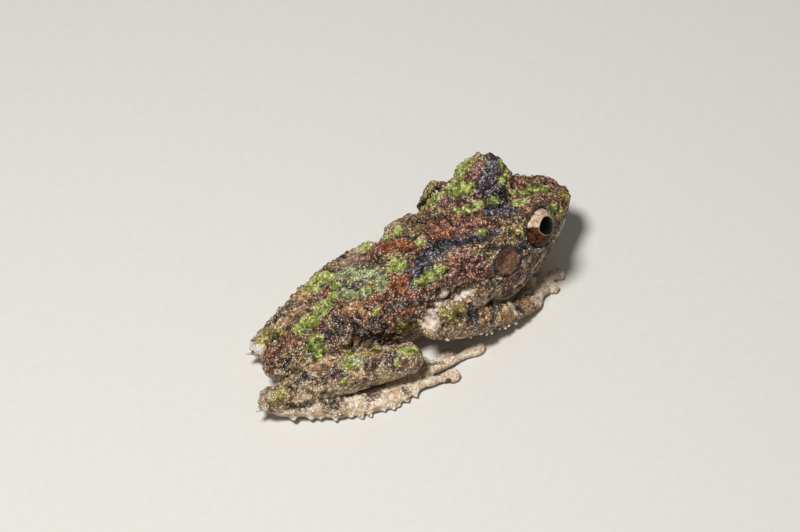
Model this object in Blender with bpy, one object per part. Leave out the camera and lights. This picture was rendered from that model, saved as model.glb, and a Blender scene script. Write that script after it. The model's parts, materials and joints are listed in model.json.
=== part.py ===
"""A frilled tree frog, Kurixalus bisacculus, life size, crouching with its legs folded.

The frog faces +X and its back is up, +Z. The origin is on the floor, under the middle of
the belly. Sizes below are millimetres; the meshes are in metres. The body is one lofted
form, parted by thin cuts into head, lower jaw and torso. Each leg is a chain of tubes that
gives way to what it grows from, with a thin gap between neighbours.
"""

import math

import bmesh
import bpy
import numpy as np

MM = 0.001
GAP = 0.3

# Driving sizes of the frog
SNOUT_VENT = 34.6
NECK_X = 3.5
SPINE_Y = 0.4  # how far the trunk lies to the left of the origin
HEAD_TURN = math.radians(6.0)  # the head is turned a little to the frog's left
EYE_RADIUS = 2.1
EYE_AT = (10.3, 3.9, 8.5)
GAZE = (0.45, 0.74, 0.5)
LID_THICK = 0.35
LID_OPEN = {"long": 1.2, "below": 1.15}  # how far the lids part from the gaze, in radians
LID_OPEN_ABOVE = {-1: 0.9, 1: 0.6}  # the left upper lid is lowered a little
BROW_AT = (-0.15, -0.1, 0.66)  # middle of the thick upper lid, from the middle of the eye
BROW_HALF = (2.9, 2.6, 2.45)
EAR_RADIUS = 1.3
EAR_AT = (6.2, 5.45, 8.1)
EAR_FACE = (-0.12, 0.8, 0.56)
NOSTRIL_AT = (15.9, 1.35, 6.75)
NOSTRIL_RADIUS = 0.28

# Lines along the body, by distance behind the snout tip
TOP_Z = [(0, 5.8), (0.8, 6.7), (2, 7.35), (4, 8.2), (6.5, 9.1), (9, 9.6), (12, 9.9),
         (16, 9.9), (20, 9.4), (24, 8.3), (28, 6.7), (31.5, 5.1), (33.8, 3.9), (34.6, 2.9)]
RIDGE_Y = [(0, 0), (0.8, 1.6), (2, 2.2), (4, 2.9), (6.5, 3.8), (9, 4.8), (11.5, 5.0),
           (14, 4.3), (18, 3.6), (22, 3.4), (26, 2.8), (30, 2.1), (33.8, 1.1), (34.6, 0)]
RIDGE_Z = [(0, 5.8), (0.8, 6.6), (2, 7.15), (4, 7.9), (6.5, 8.7), (9, 9.15), (11.5, 9.2),
           (14, 8.8), (18, 8.3), (22, 7.5), (26, 6.3), (30, 4.8), (33.8, 3.5), (34.6, 2.9)]
SIDE_Y = [(0, 0), (0.8, 1.5), (2.2, 2.7), (3.5, 3.5), (5, 4.3), (8, 5.4), (11, 6.0),
          (13, 5.8), (15, 4.9), (18, 4.8), (22, 4.6), (26, 3.6), (30, 2.6), (33.8, 1.5), (34.6, 0)]
SIDE_Z = [(0, 5.5), (0.8, 5.5), (2.2, 5.4), (3.5, 5.3), (5, 5.3), (8, 5.3), (11, 5.2),
          (13, 5.1), (15, 5.1), (22, 4.9), (26, 4.2), (30, 3.4), (34.6, 2.8)]
UNDER_Y = [(0, 0), (0.8, 0.9), (2.2, 1.9), (3.5, 2.6), (5, 3.3), (8, 4.3), (11, 4.9),
           (13, 4.6), (15, 3.8), (18, 3.6), (22, 3.5), (26, 2.9), (30, 2.1), (33.8, 1.1), (34.6, 0)]
UNDER_Z = [(0, 5.2), (0.8, 4.4), (2.2, 3.9), (3.5, 3.5), (5, 3.2), (8, 2.7), (11, 2.3),
           (13, 2.1), (15, 1.8), (18, 1.5), (22, 1.3), (26, 1.3), (30, 1.4), (33.8, 2.0), (34.6, 2.7)]
BELLY_Z = [(0, 5.1), (1, 4.0), (3, 3.1), (6, 2.4), (10, 1.7), (13.5, 0.6), (16, -0.4),
           (18, -0.5), (24, -0.5), (27, -0.2), (31, 0.7), (34.6, 2.5)]
MOUTH_Z = [(-2, 5.2), (0.6, 5.12), (3, 4.8), (6, 4.6), (9, 4.35), (12.2, 3.9), (14, 3.6)]
WARTS = [(0.20, 0.09), (0.27, 0.95), (0.36, 0.10), (0.40, 0.90), (0.44, 0.16), (0.50, 0.93),
         (0.53, 0.06), (0.58, 0.86), (0.62, 0.14), (0.68, 0.95), (0.72, 0.08), (0.78, 0.88),
         (0.84, 0.12), (0.985, 0.12), (0.99, 0.30), (0.985, 0.88), (0.99, 0.70)]

# Joints of the limbs, where x is forward, y outward and z up, and half thicknesses
ARM = {
    "right": {"shoulder": (4.4, 4.3, 5.4), "elbow": (-1.9, 5.3, 5.0), "wrist": (6.5, 5.7, 1.6),
              "palm": (9.0, 4.7, 0.55),
              "tips": [(9.8, 2.0, 0.4), (11.6, 1.2, 0.4), (13.1, 3.0, 0.4), (11.7, 4.2, 0.4)]},
    "left": {"shoulder": (4.8, 5.0, 5.2), "elbow": (1.3, 6.8, 4.4), "wrist": (8.0, 7.0, 1.6),
             "palm": (9.8, 6.2, 0.55),
             "tips": [(10.4, 3.5, 0.4), (12.2, 2.9, 0.4), (14.0, 4.2, 0.4), (13.2, 6.0, 0.4)]},
}
LEG = {
    "right": {"hip": (-13.6, 2.3, 2.9), "knee": (-6.6, 4.9, 2.5), "shin": (-5.5, 6.3, 3.3),
              "calf": (-11.0, 4.4, 3.0), "heel": (-18.2, 2.6, 2.2), "ankle": (-12.8, 5.9, 0.85),
              "sole": (-8.6, 7.0, 0.5),
              "tips": [(-5.4, 5.2, 0.4), (-3.4, 5.3, 0.4), (-0.9, 5.9, 0.4), (1.9, 6.7, 0.4),
                       (-1.8, 8.3, 0.4)]},
    "left": {"hip": (-12.9, 3.0, 2.9), "knee": (-3.6, 5.6, 2.5), "shin": (-2.0, 6.9, 3.3),
             "calf": (-7.6, 5.7, 3.1), "heel": (-15.7, 3.7, 2.2), "ankle": (-10.4, 6.7, 0.85),
             "sole": (-6.3, 8.0, 0.5),
             "tips": [(-3.2, 6.5, 0.4), (-1.2, 6.9, 0.4), (1.3, 7.6, 0.4), (4.2, 8.9, 0.4),
                      (0.5, 9.9, 0.4)]},
}
UPPER_ARM_HALF = (1.4, 1.25)
FOREARM_HALF = (1.45, 1.75, 1.0)
THIGH_HALF = (1.8, 1.9, 1.5)
SHANK_HALF = (1.5, 1.95, 1.25)
TARSUS_HALF = (1.05, 0.95, 1.05)
FINGER_HALF = 0.5
FINGER_DISC = 0.85
TOE_HALF = 0.5
TOE_DISC = 0.72
TUBERCLE = 0.42
WART = 0.38
BODY_RINGS, BODY_SIDES = 42, 32

# Colours of the parts, linear RGB, and roughness
SKIN_BROWN = (0.16, 0.085, 0.045)
SKIN_CREAM = (0.42, 0.31, 0.2)
EYE_COLOUR = (0.45, 0.3, 0.18)
EAR_COLOUR = (0.13, 0.055, 0.04)


def clear_scene():
    for item in list(bpy.data.objects):
        bpy.data.objects.remove(item)


def material(name, colour, rough):
    made = bpy.data.materials.new(name)
    made.use_nodes = True
    shader = made.node_tree.nodes["Principled BSDF"]
    shader.inputs["Base Color"].default_value = (*colour, 1)
    shader.inputs["Roughness"].default_value = rough
    shader.inputs["Metallic"].default_value = 0
    return made


def through(knots, at):
    """Values at the places asked, on a smooth curve through (place, value) knots."""
    place, value = np.array(knots, float).T
    slope = np.gradient(value, place)
    span = np.clip(np.searchsorted(place, at) - 1, 0, len(place) - 2)
    step = place[span + 1] - place[span]
    t = (at - place[span]) / step
    start = (1 + 2 * t) * (1 - t) ** 2 * value[span] + t * (1 - t) ** 2 * step * slope[span]
    end = t * t * (3 - 2 * t) * value[span + 1] + t * t * (t - 1) * step * slope[span + 1]
    return start + end


def along(rows, t):
    """Points on a smooth curve through the rows, for t from 0 to 1, evenly by row."""
    rows = np.array(rows, float)
    padded = np.vstack([2 * rows[0] - rows[1], rows, 2 * rows[-1] - rows[-2]])
    place = np.clip(t, 0, 1) * (len(rows) - 1)
    span = np.minimum(place.astype(int), len(rows) - 2)
    f = (place - span)[:, None]
    p0, p1, p2, p3 = (padded[span + k] for k in range(4))
    return 0.5 * (2 * p1 + (p2 - p0) * f + (2 * p0 - 5 * p1 + 4 * p2 - p3) * f**2
                  + (3 * p1 - p0 - 3 * p2 + p3) * f**3)


def bent(points):
    """Points of a straight frog moved onto its midline, which turns to the left at the neck."""
    points = np.array(points, float)
    x, y = points[..., 0].copy(), points[..., 1].copy()
    t = np.clip((x - 2) / 6, 0, 1)
    turn = HEAD_TURN * t * t * (3 - 2 * t)
    ahead = 6 * (t**3 - t**4 / 2) + np.maximum(x - 8, 0)
    points[..., 0] = x - y * np.sin(turn)
    points[..., 1] = SPINE_Y + math.tan(HEAD_TURN) * ahead + y * np.cos(turn)
    return points


def closed_grid(rings, first, last):
    """Vertices and faces of a closed form from a grid of rings and the two end points."""
    count, sides = rings.shape[:2]
    verts = np.vstack([rings.reshape(-1, 3), [first], [last]])
    ring = np.arange(count - 1)[:, None] * sides
    side = np.arange(sides)[None, :]
    after = (side + 1) % sides
    quads = np.stack([ring + side, ring + after, ring + sides + after, ring + sides + side], -1)
    faces = quads.reshape(-1, 4).tolist()
    top, end = count * sides, (count - 1) * sides
    faces += [(top, int(b), int(a)) for a, b in zip(side[0], after[0])]
    faces += [(top + 1, end + int(a), end + int(b)) for a, b in zip(side[0], after[0])]
    return verts, faces


def solid(name, verts, faces, on_floor=False):
    """A mesh object in metres, from vertices in millimetres, with its faces pointing out."""
    verts = np.array(verts, float)
    if on_floor:
        verts[:, 2] = np.maximum(verts[:, 2], 0)
    mesh = bpy.data.meshes.new(name)
    mesh.from_pydata((verts * MM).tolist(), [], faces)
    shape = bmesh.new()
    shape.from_mesh(mesh)
    bmesh.ops.recalc_face_normals(shape, faces=shape.faces)
    shape.to_mesh(mesh)
    shape.free()
    made = bpy.data.objects.new(name, mesh)
    bpy.context.scene.collection.objects.link(made)
    return made


def section_through(keys, sides):
    """Closed smooth curves through the key points of each ring; keys is (rings, keys, 3)."""
    count = keys.shape[1]
    t = np.arange(sides) * count / sides
    span = t.astype(int)
    f = (t - span)[None, :, None]
    p0, p1, p2, p3 = (keys[:, (span + k) % count] for k in (-1, 0, 1, 2))
    return 0.5 * (2 * p1 + (p2 - p0) * f + (2 * p0 - 5 * p1 + 4 * p2 - p3) * f**2
                  + (3 * p1 - p0 - 3 * p2 + p3) * f**3)


def body_grid(rings, sides, grow=0.0):
    """Rings of points over head and trunk, through the back, ridge, side, under and belly lines."""
    turn = np.linspace(0, math.pi, rings + 2)
    behind = SNOUT_VENT * (1 - np.cos(turn)) / 2

    def line(knots):
        angle = np.arccos(1 - 2 * np.array(knots, float)[:, 0] / SNOUT_VENT)
        return through(np.column_stack([angle, np.array(knots)[:, 1]]), turn)

    x = SNOUT_VENT / 2 - behind + grow * np.cos(turn)
    wide = grow * np.sin(turn)
    top, belly = line(TOP_Z) + wide, line(BELLY_Z) - wide
    keys = []
    for y, z in ((0, top), (line(RIDGE_Y) + wide * 0.7, line(RIDGE_Z) + wide * 0.7),
                 (line(SIDE_Y) + wide, line(SIDE_Z)),
                 (line(UNDER_Y) + wide * 0.7, line(UNDER_Z) - wide * 0.7), (0, belly)):
        keys.append(np.stack([x, y + 0 * x, z + 0 * x], -1))
    mirrored = [keys[k] * [1, -1, 1] for k in (3, 2, 1)]
    return bent(section_through(np.stack(keys + mirrored, 1), sides))


def body_form(name, grow=0.0):
    """The whole head and trunk as one closed form."""
    grid = body_grid(BODY_RINGS, BODY_SIDES, grow)
    verts, faces = closed_grid(grid[1:-1], grid[0, 0], grid[-1, 0])
    return solid(name, verts, faces, on_floor=True)


def warts(low, high):
    """Blunt warts standing on the body between two shares of its length, from WARTS."""
    grid = body_grid(200, 160)
    made = []
    for share, around in WARTS:
        if not low < share < high:
            continue
        row = min(int(math.acos(1 - 2 * share) / math.pi * 201), 199)
        column = int(around * 160)
        spot = grid[row, column]
        out = np.cross(grid[row, (column + 1) % 160] - spot, grid[row + 1, column] - spot)
        out /= np.linalg.norm(out)
        made.append(cone("wart", spot - out * 0.5, spot + out * WART, WART * 1.1))
    return made


def tube(name, path, half, sides=12, rings=10, cap_rings=3, grow=0.0, on_floor=False):
    """A closed limb: elliptical rings carried along a smooth path, ending in round caps.

    half gives, for each point of the path, the half width across and the half thickness up.
    """
    t = np.linspace(0, 1, rings)
    centre = along(path, t)
    size = along(half, t) + grow
    ahead = along(path, t + 0.01) - along(path, t - 0.01)
    ahead /= np.linalg.norm(ahead, axis=1)[:, None]
    quarter = (np.arange(cap_rings) + 0.5) / (cap_rings + 0.5) * math.pi / 2
    reach = size.mean(1)
    start = centre[0] - np.outer(np.cos(quarter), ahead[0]) * reach[0]
    end = centre[-1] + np.outer(np.cos(quarter[::-1]), ahead[-1]) * reach[-1]
    centre_all = np.vstack([start, centre, end])
    size_all = np.vstack([np.outer(np.sin(quarter), size[0]), size,
                          np.outer(np.sin(quarter[::-1]), size[-1])])
    ahead_all = np.vstack([np.repeat(ahead[:1], cap_rings, 0), ahead,
                           np.repeat(ahead[-1:], cap_rings, 0)])
    across = np.cross([0, 0, 1], ahead_all)
    across /= np.linalg.norm(across, axis=1)[:, None]
    up = np.cross(ahead_all, across)
    angle = np.arange(sides) * 2 * math.pi / sides
    grid = (centre_all[:, None]
            + across[:, None] * (size_all[:, :1] * np.cos(angle))[..., None]
            + up[:, None] * (size_all[:, 1:] * np.sin(angle))[..., None])
    verts, faces = closed_grid(grid, centre[0] - ahead[0] * reach[0],
                               centre[-1] + ahead[-1] * reach[-1])
    return solid(name, verts, faces, on_floor)


def ball(name, centre, radii, sides=14, rings=8):
    """A closed ellipsoid with its poles up and down."""
    lift = np.linspace(math.pi / 2, -math.pi / 2, rings + 2)[1:-1]
    angle = np.arange(sides) * 2 * math.pi / sides
    grid = np.stack([np.outer(np.cos(lift), np.cos(angle)), np.outer(np.cos(lift), np.sin(angle)),
                     np.outer(np.sin(lift), np.ones(sides))], -1) * radii + centre
    return solid(name, *closed_grid(grid, np.add(centre, (0, 0, radii[2])),
                                    np.subtract(centre, (0, 0, radii[2]))))


def remove(items):
    for item in items:
        bpy.data.objects.remove(item)


def keep_largest(target):
    """Drops every loose scrap that a cut leaves, and keeps the largest closed surface."""
    shape = bmesh.new()
    shape.from_mesh(target.data)
    left, groups = set(shape.faces), []
    while left:
        group, edge = set(), [left.pop()]
        while edge:
            face = edge.pop()
            group.add(face)
            near = {f for e in face.edges for f in e.link_faces} & left
            left -= near
            edge.extend(near)
        groups.append(group)
    best = max(groups, key=lambda group: sum(face.calc_area() for face in group))
    scraps = [face for group in groups if group is not best for face in group]
    bmesh.ops.delete(shape, geom=scraps, context="FACES")
    shape.to_mesh(target.data)
    shape.free()


def combine(target, pieces, operation):
    """One Boolean of the target with all the pieces, applied, and the pieces removed."""
    group = bpy.data.collections.new(target.name + "_pieces")
    for piece in pieces:
        group.objects.link(piece)
    change = target.modifiers.new(operation.lower(), "BOOLEAN")
    change.operand_type = "COLLECTION"
    change.collection = group
    change.operation = operation
    change.solver = "EXACT"
    bpy.context.view_layer.update()
    graph = bpy.context.evaluated_depsgraph_get()
    mesh = bpy.data.meshes.new_from_object(target.evaluated_get(graph))
    target.modifiers.clear()
    target.data = mesh
    remove(pieces)
    bpy.data.collections.remove(group)
    keep_largest(target)


def block(name, low, high):
    """A box between two corners."""
    (x0, y0, z0), (x1, y1, z1) = low, high
    verts = [(x, y, z) for x in (x0, x1) for y in (y0, y1) for z in (z0, z1)]
    faces = [(0, 1, 3, 2), (4, 6, 7, 5), (0, 4, 5, 1), (2, 3, 7, 6), (0, 2, 6, 4), (1, 5, 7, 3)]
    return solid(name, verts, faces)


def mouth_block(name, upward, half_gap):
    """Everything in front of the neck that is above, or below, the line of the mouth."""
    behind = np.linspace(-2, SNOUT_VENT / 2 - NECK_X - GAP / 2, 16)
    edge = np.column_stack([SNOUT_VENT / 2 - behind, through(MOUTH_Z, behind) + half_gap * upward])
    far = 30 * upward
    outline = edge.tolist() + [(edge[-1, 0], far), (edge[0, 0], far)]
    count = len(outline)
    verts = [(x, y, z) for y in (-20, 20) for x, z in outline]
    faces = [tuple(range(count)), tuple(range(2 * count - 1, count - 1, -1))]
    faces += [(k, k + count, (k + 1) % count + count, (k + 1) % count) for k in range(count)]
    return solid(name, verts, faces)


def placed(spot, side):
    """A spot given as forward, outward and up, on the left (1) or right (-1) of the frog."""
    return np.array(spot, float) * (1, side, 1)


def on_head(spot, side):
    """A spot of the head on one side of its midline, turned with the head."""
    return bent(placed(spot, side))


def cone(name, root, tip, radius, sides=6):
    """A blunt tubercle from a root inside the skin to its rounded tip."""
    root, tip = np.array(root, float), np.array(tip, float)
    lean = (tip - root) / np.linalg.norm(tip - root)
    across = np.cross(lean, (0.0, 0.0, 1.0) if abs(lean[2]) < 0.9 else (1.0, 0.0, 0.0))
    across /= np.linalg.norm(across)
    up = np.cross(lean, across)
    angle = np.arange(sides) * 2 * math.pi / sides
    grid = [root + (tip - root) * share
            + radius * size * (np.outer(np.cos(angle), across) + np.outer(np.sin(angle), up))
            for share, size in ((0, 1.0), (0.5, 0.95), (0.85, 0.55))]
    return solid(name, *closed_grid(np.array(grid), root, tip), on_floor=True)


def lid_opening(name, eye, side):
    """The room between the lids: an oval of directions round the gaze, from inside the eye outwards."""
    gaze = placed(GAZE, side)
    gaze /= np.linalg.norm(gaze)
    level = np.array((1.0, 0.0, 0.0)) - gaze * gaze[0]
    level /= np.linalg.norm(level)
    above = np.cross(gaze, level)
    above *= math.copysign(1, above[2])
    angle = np.arange(20) * 2 * math.pi / 20
    rise = np.where(np.sin(angle) > 0, LID_OPEN_ABOVE[side], LID_OPEN["below"])
    reach = 1 / np.sqrt((np.cos(angle) / LID_OPEN["long"]) ** 2 + (np.sin(angle) / rise) ** 2)
    around = np.outer(np.cos(angle), level) + np.outer(np.sin(angle), above)
    outer, inner = EYE_RADIUS + 1.6, EYE_RADIUS * 0.5
    rings = [radius * (np.cos(share * reach)[:, None] * gaze + np.sin(share * reach)[:, None] * around)
             for radius, shares in ((outer, (0.35, 0.7, 1)), (inner, (1, 0.7, 0.35)))
             for share in shares]
    return solid(name, *closed_grid(eye + np.array(rings), eye + gaze * outer, eye + gaze * inner))


def build_head(skin):
    """The head above the mouth: brows and lids, hollow sockets, snout ridges, ears and nostrils."""
    head = body_form("head")
    bulges, hollows = [], []
    for side in (-1, 1):
        eye, ear = on_head(EYE_AT, side), on_head(EAR_AT, side)
        bulges.append(ball("lid", eye, (EYE_RADIUS + GAP + LID_THICK,) * 3, 18, 11))
        bulges.append(ball("upper_lid", eye + placed(BROW_AT, side), BROW_HALF, 18, 11))
        bulges.append(ball("brow", on_head((9.8, 3.0, 8.9), side), (3.1, 2.1, 2.0), 16, 9))
        crown = [on_head(spot, side) for spot in ((9.6, 3.6, 9.3), (7.4, 3.7, 9.0), (5.4, 3.5, 8.95))]
        bulges.append(tube("crown_ridge", crown, [(1.7, 1.4), (1.6, 1.1), (1.1, 0.7)], 12, 7, 2))
        snout = [on_head(spot, side) for spot in ((12.0, 3.0, 7.9), (14.0, 2.1, 7.55), (15.9, 1.3, 6.75))]
        bulges.append(tube("snout_ridge", snout, [(0.7, 0.75), (0.5, 0.5), (0.55, 0.5)], 8, 6, 2))
        fold = [eye + placed((-1.9, 0.75, -0.5), side), ear + placed((-0.4, -0.1, 1.66), side),
                ear + placed((-1.75, -0.05, 0.9), side)]
        bulges.append(tube("ear_fold", fold, [(0.34, 0.42), (0.32, 0.45), (0.3, 0.4)], 8, 8, 2))
        hollows.append(ball("socket", eye, (EYE_RADIUS + GAP,) * 3, 18, 10))
        hollows.append(lid_opening("opening", eye, side))
        hollows.append(ear_plug("ear_seat", side, EAR_RADIUS + GAP, 0.55))
        nostril = on_head(NOSTRIL_AT, side)
        wide = (NOSTRIL_RADIUS * 1.3, NOSTRIL_RADIUS, NOSTRIL_RADIUS)
        hollows.append(ball("nostril", nostril, wide, 8, 4))
    combine(head, bulges + warts(0.0, 0.36), "UNION")
    combine(head, [mouth_block("above_mouth", 1, GAP / 2)], "INTERSECT")
    combine(head, hollows, "DIFFERENCE")
    head.data.materials.append(skin)
    return head


def ear_plug(name, side, radius, depth):
    """The round ear drum, a short disc set into the side of the head and facing out and up."""
    at = on_head(EAR_AT, side)
    face = placed(EAR_FACE, side)
    return tube(name, [at - face * depth, at - face * depth * 0.3, at + face * 0.12],
                [(radius, radius), (radius, radius), (radius * 0.86, radius * 0.86)], 16, 3, 1)


def build_all():
    clear_scene()
    skin = material("skin_warty_brown", SKIN_BROWN, 0.55)
    pale = material("skin_cream", SKIN_CREAM, 0.55)
    eye_finish = material("eye_glossy", EYE_COLOUR, 0.08)
    ear_finish = material("ear_drum", EAR_COLOUR, 0.5)

    build_head(skin)
    jaw = body_form("lower_jaw")
    combine(jaw, [mouth_block("below_mouth", -1, GAP / 2)], "INTERSECT")
    jaw.data.materials.append(pale)
    torso = body_form("torso")
    combine(torso, warts(0.43, 1.0), "UNION")
    combine(torso, [block("behind_neck", (-40, -20, -1), (NECK_X - GAP / 2, 20, 20))], "INTERSECT")
    torso.data.materials.append(skin)

    for word, side in (("right", -1), ("left", 1)):
        eye = ball("eye_" + word, on_head(EYE_AT, side), (EYE_RADIUS,) * 3, 18, 11)
        eye.data.materials.append(eye_finish)
        ear = ear_plug("ear_drum_" + word, side, EAR_RADIUS, 0.25)
        ear.data.materials.append(ear_finish)
        build_arm(word, side, skin, pale)
        build_leg(word, side, skin, pale)


def fringe(name, points, outward, count, size):
    """A row of blunt tubercles along the outer edge of a limb, standing out sideways."""
    spots = along(points, np.linspace(0.08, 0.95, count))
    rows = []
    for number, spot in enumerate(spots):
        tall = size * (1.15 + 0.35 * math.sin(2.4 * number + 1))
        rows.append(cone(f"{name}_{number}", spot, spot + np.array(outward) * (tall + size), size))
    return rows


def digits(name, palm, tips, half, disc, grow):
    """Fingers or toes: slim tubes that arch from the palm and end in round flat discs."""
    rows = []
    for number, tip in enumerate(tips):
        start, end = np.array(palm, float), np.array(tip, float)
        path = [start + (end - start) * share + (0, 0, rise)
                for share, rise in ((0.0, 0.05), (0.35, 0.28), (0.68, 0.2), (0.86, 0.02), (1.0, 0.0))]
        wide = [(half * 1.2, half), (half, half * 0.95), (half * 0.88, half * 0.85),
                (disc * 0.92, half * 0.85), (disc * 0.9, half * 0.8)]
        rows.append(tube(f"{name}_{number}", path, wide, 8, 10, 2, grow, True))
    return rows


def build_arm(word, side, skin, pale):
    joints = {name: placed(spot, side) for name, spot in ARM[word].items() if name != "tips"}
    tips = [placed(spot, side) for spot in ARM[word]["tips"]]

    def upper(name, grow=0.0):
        deep, end = UPPER_ARM_HALF
        middle = (joints["shoulder"] + joints["elbow"]) / 2 + (0, 0.25 * side, 0.1)
        return tube(name, [joints["shoulder"], middle, joints["elbow"]],
                    [(deep, deep), (deep, deep), (end, end)], 12, 8, 3, grow)

    def lower(name, grow=0.0):
        near, thick, wrist = FOREARM_HALF
        third = joints["elbow"] * 0.62 + joints["wrist"] * 0.38
        return tube(name, [joints["elbow"], third, joints["wrist"]],
                    [(near, near), (thick, thick), (wrist, wrist * 0.85)], 12, 10, 3, grow, True)

    upper_arm = upper("upper_arm_" + word)
    combine(upper_arm, [lower("forearm_grown", GAP), body_form("body", GAP)], "DIFFERENCE")
    upper_arm.data.materials.append(skin)

    forearm = lower("forearm_" + word)
    edge = [joints["elbow"] + (0.2, 0.8 * side, -0.7),
            (joints["elbow"] + joints["wrist"]) / 2 + (0.3, 1.05 * side, -0.6),
            joints["wrist"] + (0, 0.5 * side, -0.3)]
    combine(forearm, fringe("fringe", edge, (0, 0.9 * side, -0.35), 7, TUBERCLE * 0.8), "UNION")
    combine(forearm, [body_form("body", GAP)], "DIFFERENCE")
    forearm.data.materials.append(pale)

    hand = tube("hand_" + word, [joints["wrist"] + (0.4, 0, 0), joints["palm"],
                                 joints["palm"] + (tips[2] - joints["palm"]) * 0.22],
                [(0.95, 0.5), (1.25, 0.65), (0.8, 0.5)], 10, 6, 2, 0.0, True)
    combine(hand, digits("finger", joints["palm"], tips, FINGER_HALF, FINGER_DISC, 0.0), "UNION")
    combine(hand, [lower("forearm_grown", GAP), body_form("body", GAP)], "DIFFERENCE")
    hand.data.materials.append(pale)


def build_leg(word, side, skin, pale):
    joints = {name: placed(spot, side) for name, spot in LEG[word].items() if name != "tips"}
    tips = [placed(spot, side) for spot in LEG[word]["tips"]]

    def thigh(name, grow=0.0):
        hip, middle, knee = THIGH_HALF
        centre = (joints["hip"] + joints["knee"]) / 2 + (0, 0.2 * side, 0.1)
        return tube(name, [joints["hip"], centre, joints["knee"]],
                    [(hip, hip), (middle * 0.85, middle), (knee, knee)], 14, 10, 3, grow)

    def shank(name, grow=0.0):
        knee, calf, heel = SHANK_HALF
        return tube(name, [joints["shin"], joints["calf"], joints["heel"]],
                    [(knee, knee), (calf * 0.92, calf), (heel, heel)], 14, 12, 3, grow, True)

    def tarsus(name, grow=0.0):
        heel, middle, ankle = TARSUS_HALF
        centre = joints["heel"] * 0.5 + joints["ankle"] * 0.5 + (0, 0.2 * side, -0.25)
        return tube(name, [joints["heel"] + (0.6, 0.35 * side, -0.5), centre, joints["ankle"]],
                    [(heel, heel), (middle, middle), (ankle * 1.1, ankle * 0.85)], 10, 8, 3, grow, True)

    def body(name):
        return body_form(name, GAP)

    upper = thigh("thigh_" + word)
    combine(upper, [shank("shank_grown", GAP), body("body")], "DIFFERENCE")
    upper.data.materials.append(skin)

    lower = shank("shank_" + word)
    heel_spur = cone("spur", joints["heel"] + (-0.3, 0, 0), joints["heel"] + (-1.9, 0.25 * side, -0.25),
                     TUBERCLE)
    combine(lower, [heel_spur], "UNION")
    combine(lower, [body("body")], "DIFFERENCE")
    lower.data.materials.append(skin)

    ankle = tarsus("tarsus_" + word)
    edge = [joints["heel"] + (0.8, 0.9 * side, -1.1), joints["ankle"] + (0, 0.6 * side, -0.4)]
    combine(ankle, fringe("fringe", edge, (0, 0.9 * side, -0.2), 6, TUBERCLE), "UNION")
    combine(ankle, [shank("shank_grown", GAP), thigh("thigh_grown", GAP), body("body")], "DIFFERENCE")
    ankle.data.materials.append(pale)

    foot = tube("foot_" + word, [joints["ankle"] + (0.4, 0, -0.1), joints["sole"],
                                 joints["sole"] + (tips[3] - joints["sole"]) * 0.3],
                [(1.1, 0.8), (1.35, 0.65), (1.0, 0.5)], 10, 8, 2, 0.0, True)
    reach = [joints["sole"] + (tip - joints["sole"]) * 0.5 for tip in tips]
    outline = [(x, y) for x, y, z in [joints["sole"] - (1.0, 0, 0), *reach]]
    web = [(x, y, z) for z in (0.1, 0.6) for x, y in outline]
    rim = [(k, (k + 1) % 6, (k + 1) % 6 + 6, k + 6) for k in range(6)]
    toes = digits("toe", joints["sole"], tips, TOE_HALF, TOE_DISC, 0.0)
    toes.append(solid("web", web, [tuple(range(5, -1, -1)), tuple(range(6, 12)), *rim]))
    combine(foot, toes, "UNION")
    outer = [joints["ankle"] + (0.8, 0.8 * side, -0.3), joints["sole"] + (0, 1.0 * side, -0.1),
             joints["sole"] * 0.5 + tips[4] * 0.5 + (0, 0.1 * side, 0.1)]
    combine(foot, fringe("fringe", outer, (0, 0.9 * side, -0.15), 6, TUBERCLE * 0.8), "UNION")
    combine(foot, [tarsus("tarsus_grown", GAP), shank("shank_grown", GAP), thigh("thigh_grown", GAP),
                   body("body")], "DIFFERENCE")
    foot.data.materials.append(pale)


build_all()
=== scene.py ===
"""Looks of the frilled tree frog, Kurixalus bisacculus, a life-size still model.

The frog faces +X with its back up. Shapes are worked out in millimetres and written to the
meshes in metres. One skin covers the whole animal; the two eyes sit in it as pieces of
their own.
"""

import json
import math

import bpy
import numpy as np
from mathutils import Matrix

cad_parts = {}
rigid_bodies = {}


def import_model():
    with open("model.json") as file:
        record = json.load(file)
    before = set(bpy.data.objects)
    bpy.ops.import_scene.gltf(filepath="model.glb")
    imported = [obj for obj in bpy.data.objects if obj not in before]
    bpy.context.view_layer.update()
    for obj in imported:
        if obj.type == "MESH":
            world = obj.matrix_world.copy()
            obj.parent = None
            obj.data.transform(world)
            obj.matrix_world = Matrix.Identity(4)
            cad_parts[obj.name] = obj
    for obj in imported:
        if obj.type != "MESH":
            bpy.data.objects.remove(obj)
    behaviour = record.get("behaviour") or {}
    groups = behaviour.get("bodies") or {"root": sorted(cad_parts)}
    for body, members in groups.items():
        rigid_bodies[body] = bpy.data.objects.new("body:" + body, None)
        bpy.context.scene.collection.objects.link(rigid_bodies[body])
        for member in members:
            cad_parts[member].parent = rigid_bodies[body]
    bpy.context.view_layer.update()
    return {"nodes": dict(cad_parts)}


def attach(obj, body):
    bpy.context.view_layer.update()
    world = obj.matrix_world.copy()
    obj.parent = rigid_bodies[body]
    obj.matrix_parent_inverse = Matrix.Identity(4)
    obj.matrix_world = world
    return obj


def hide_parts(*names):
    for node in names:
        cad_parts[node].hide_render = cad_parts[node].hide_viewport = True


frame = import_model()

# Skin. Moist, thin frog skin over muscle and bone: fine granules everywhere, larger warts on
# the back and limbs, smooth ear drums, and fringes of pale tubercles along the outer edges.
# It is one closed surface, cast from overlapping body forms and then worked over.

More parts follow.
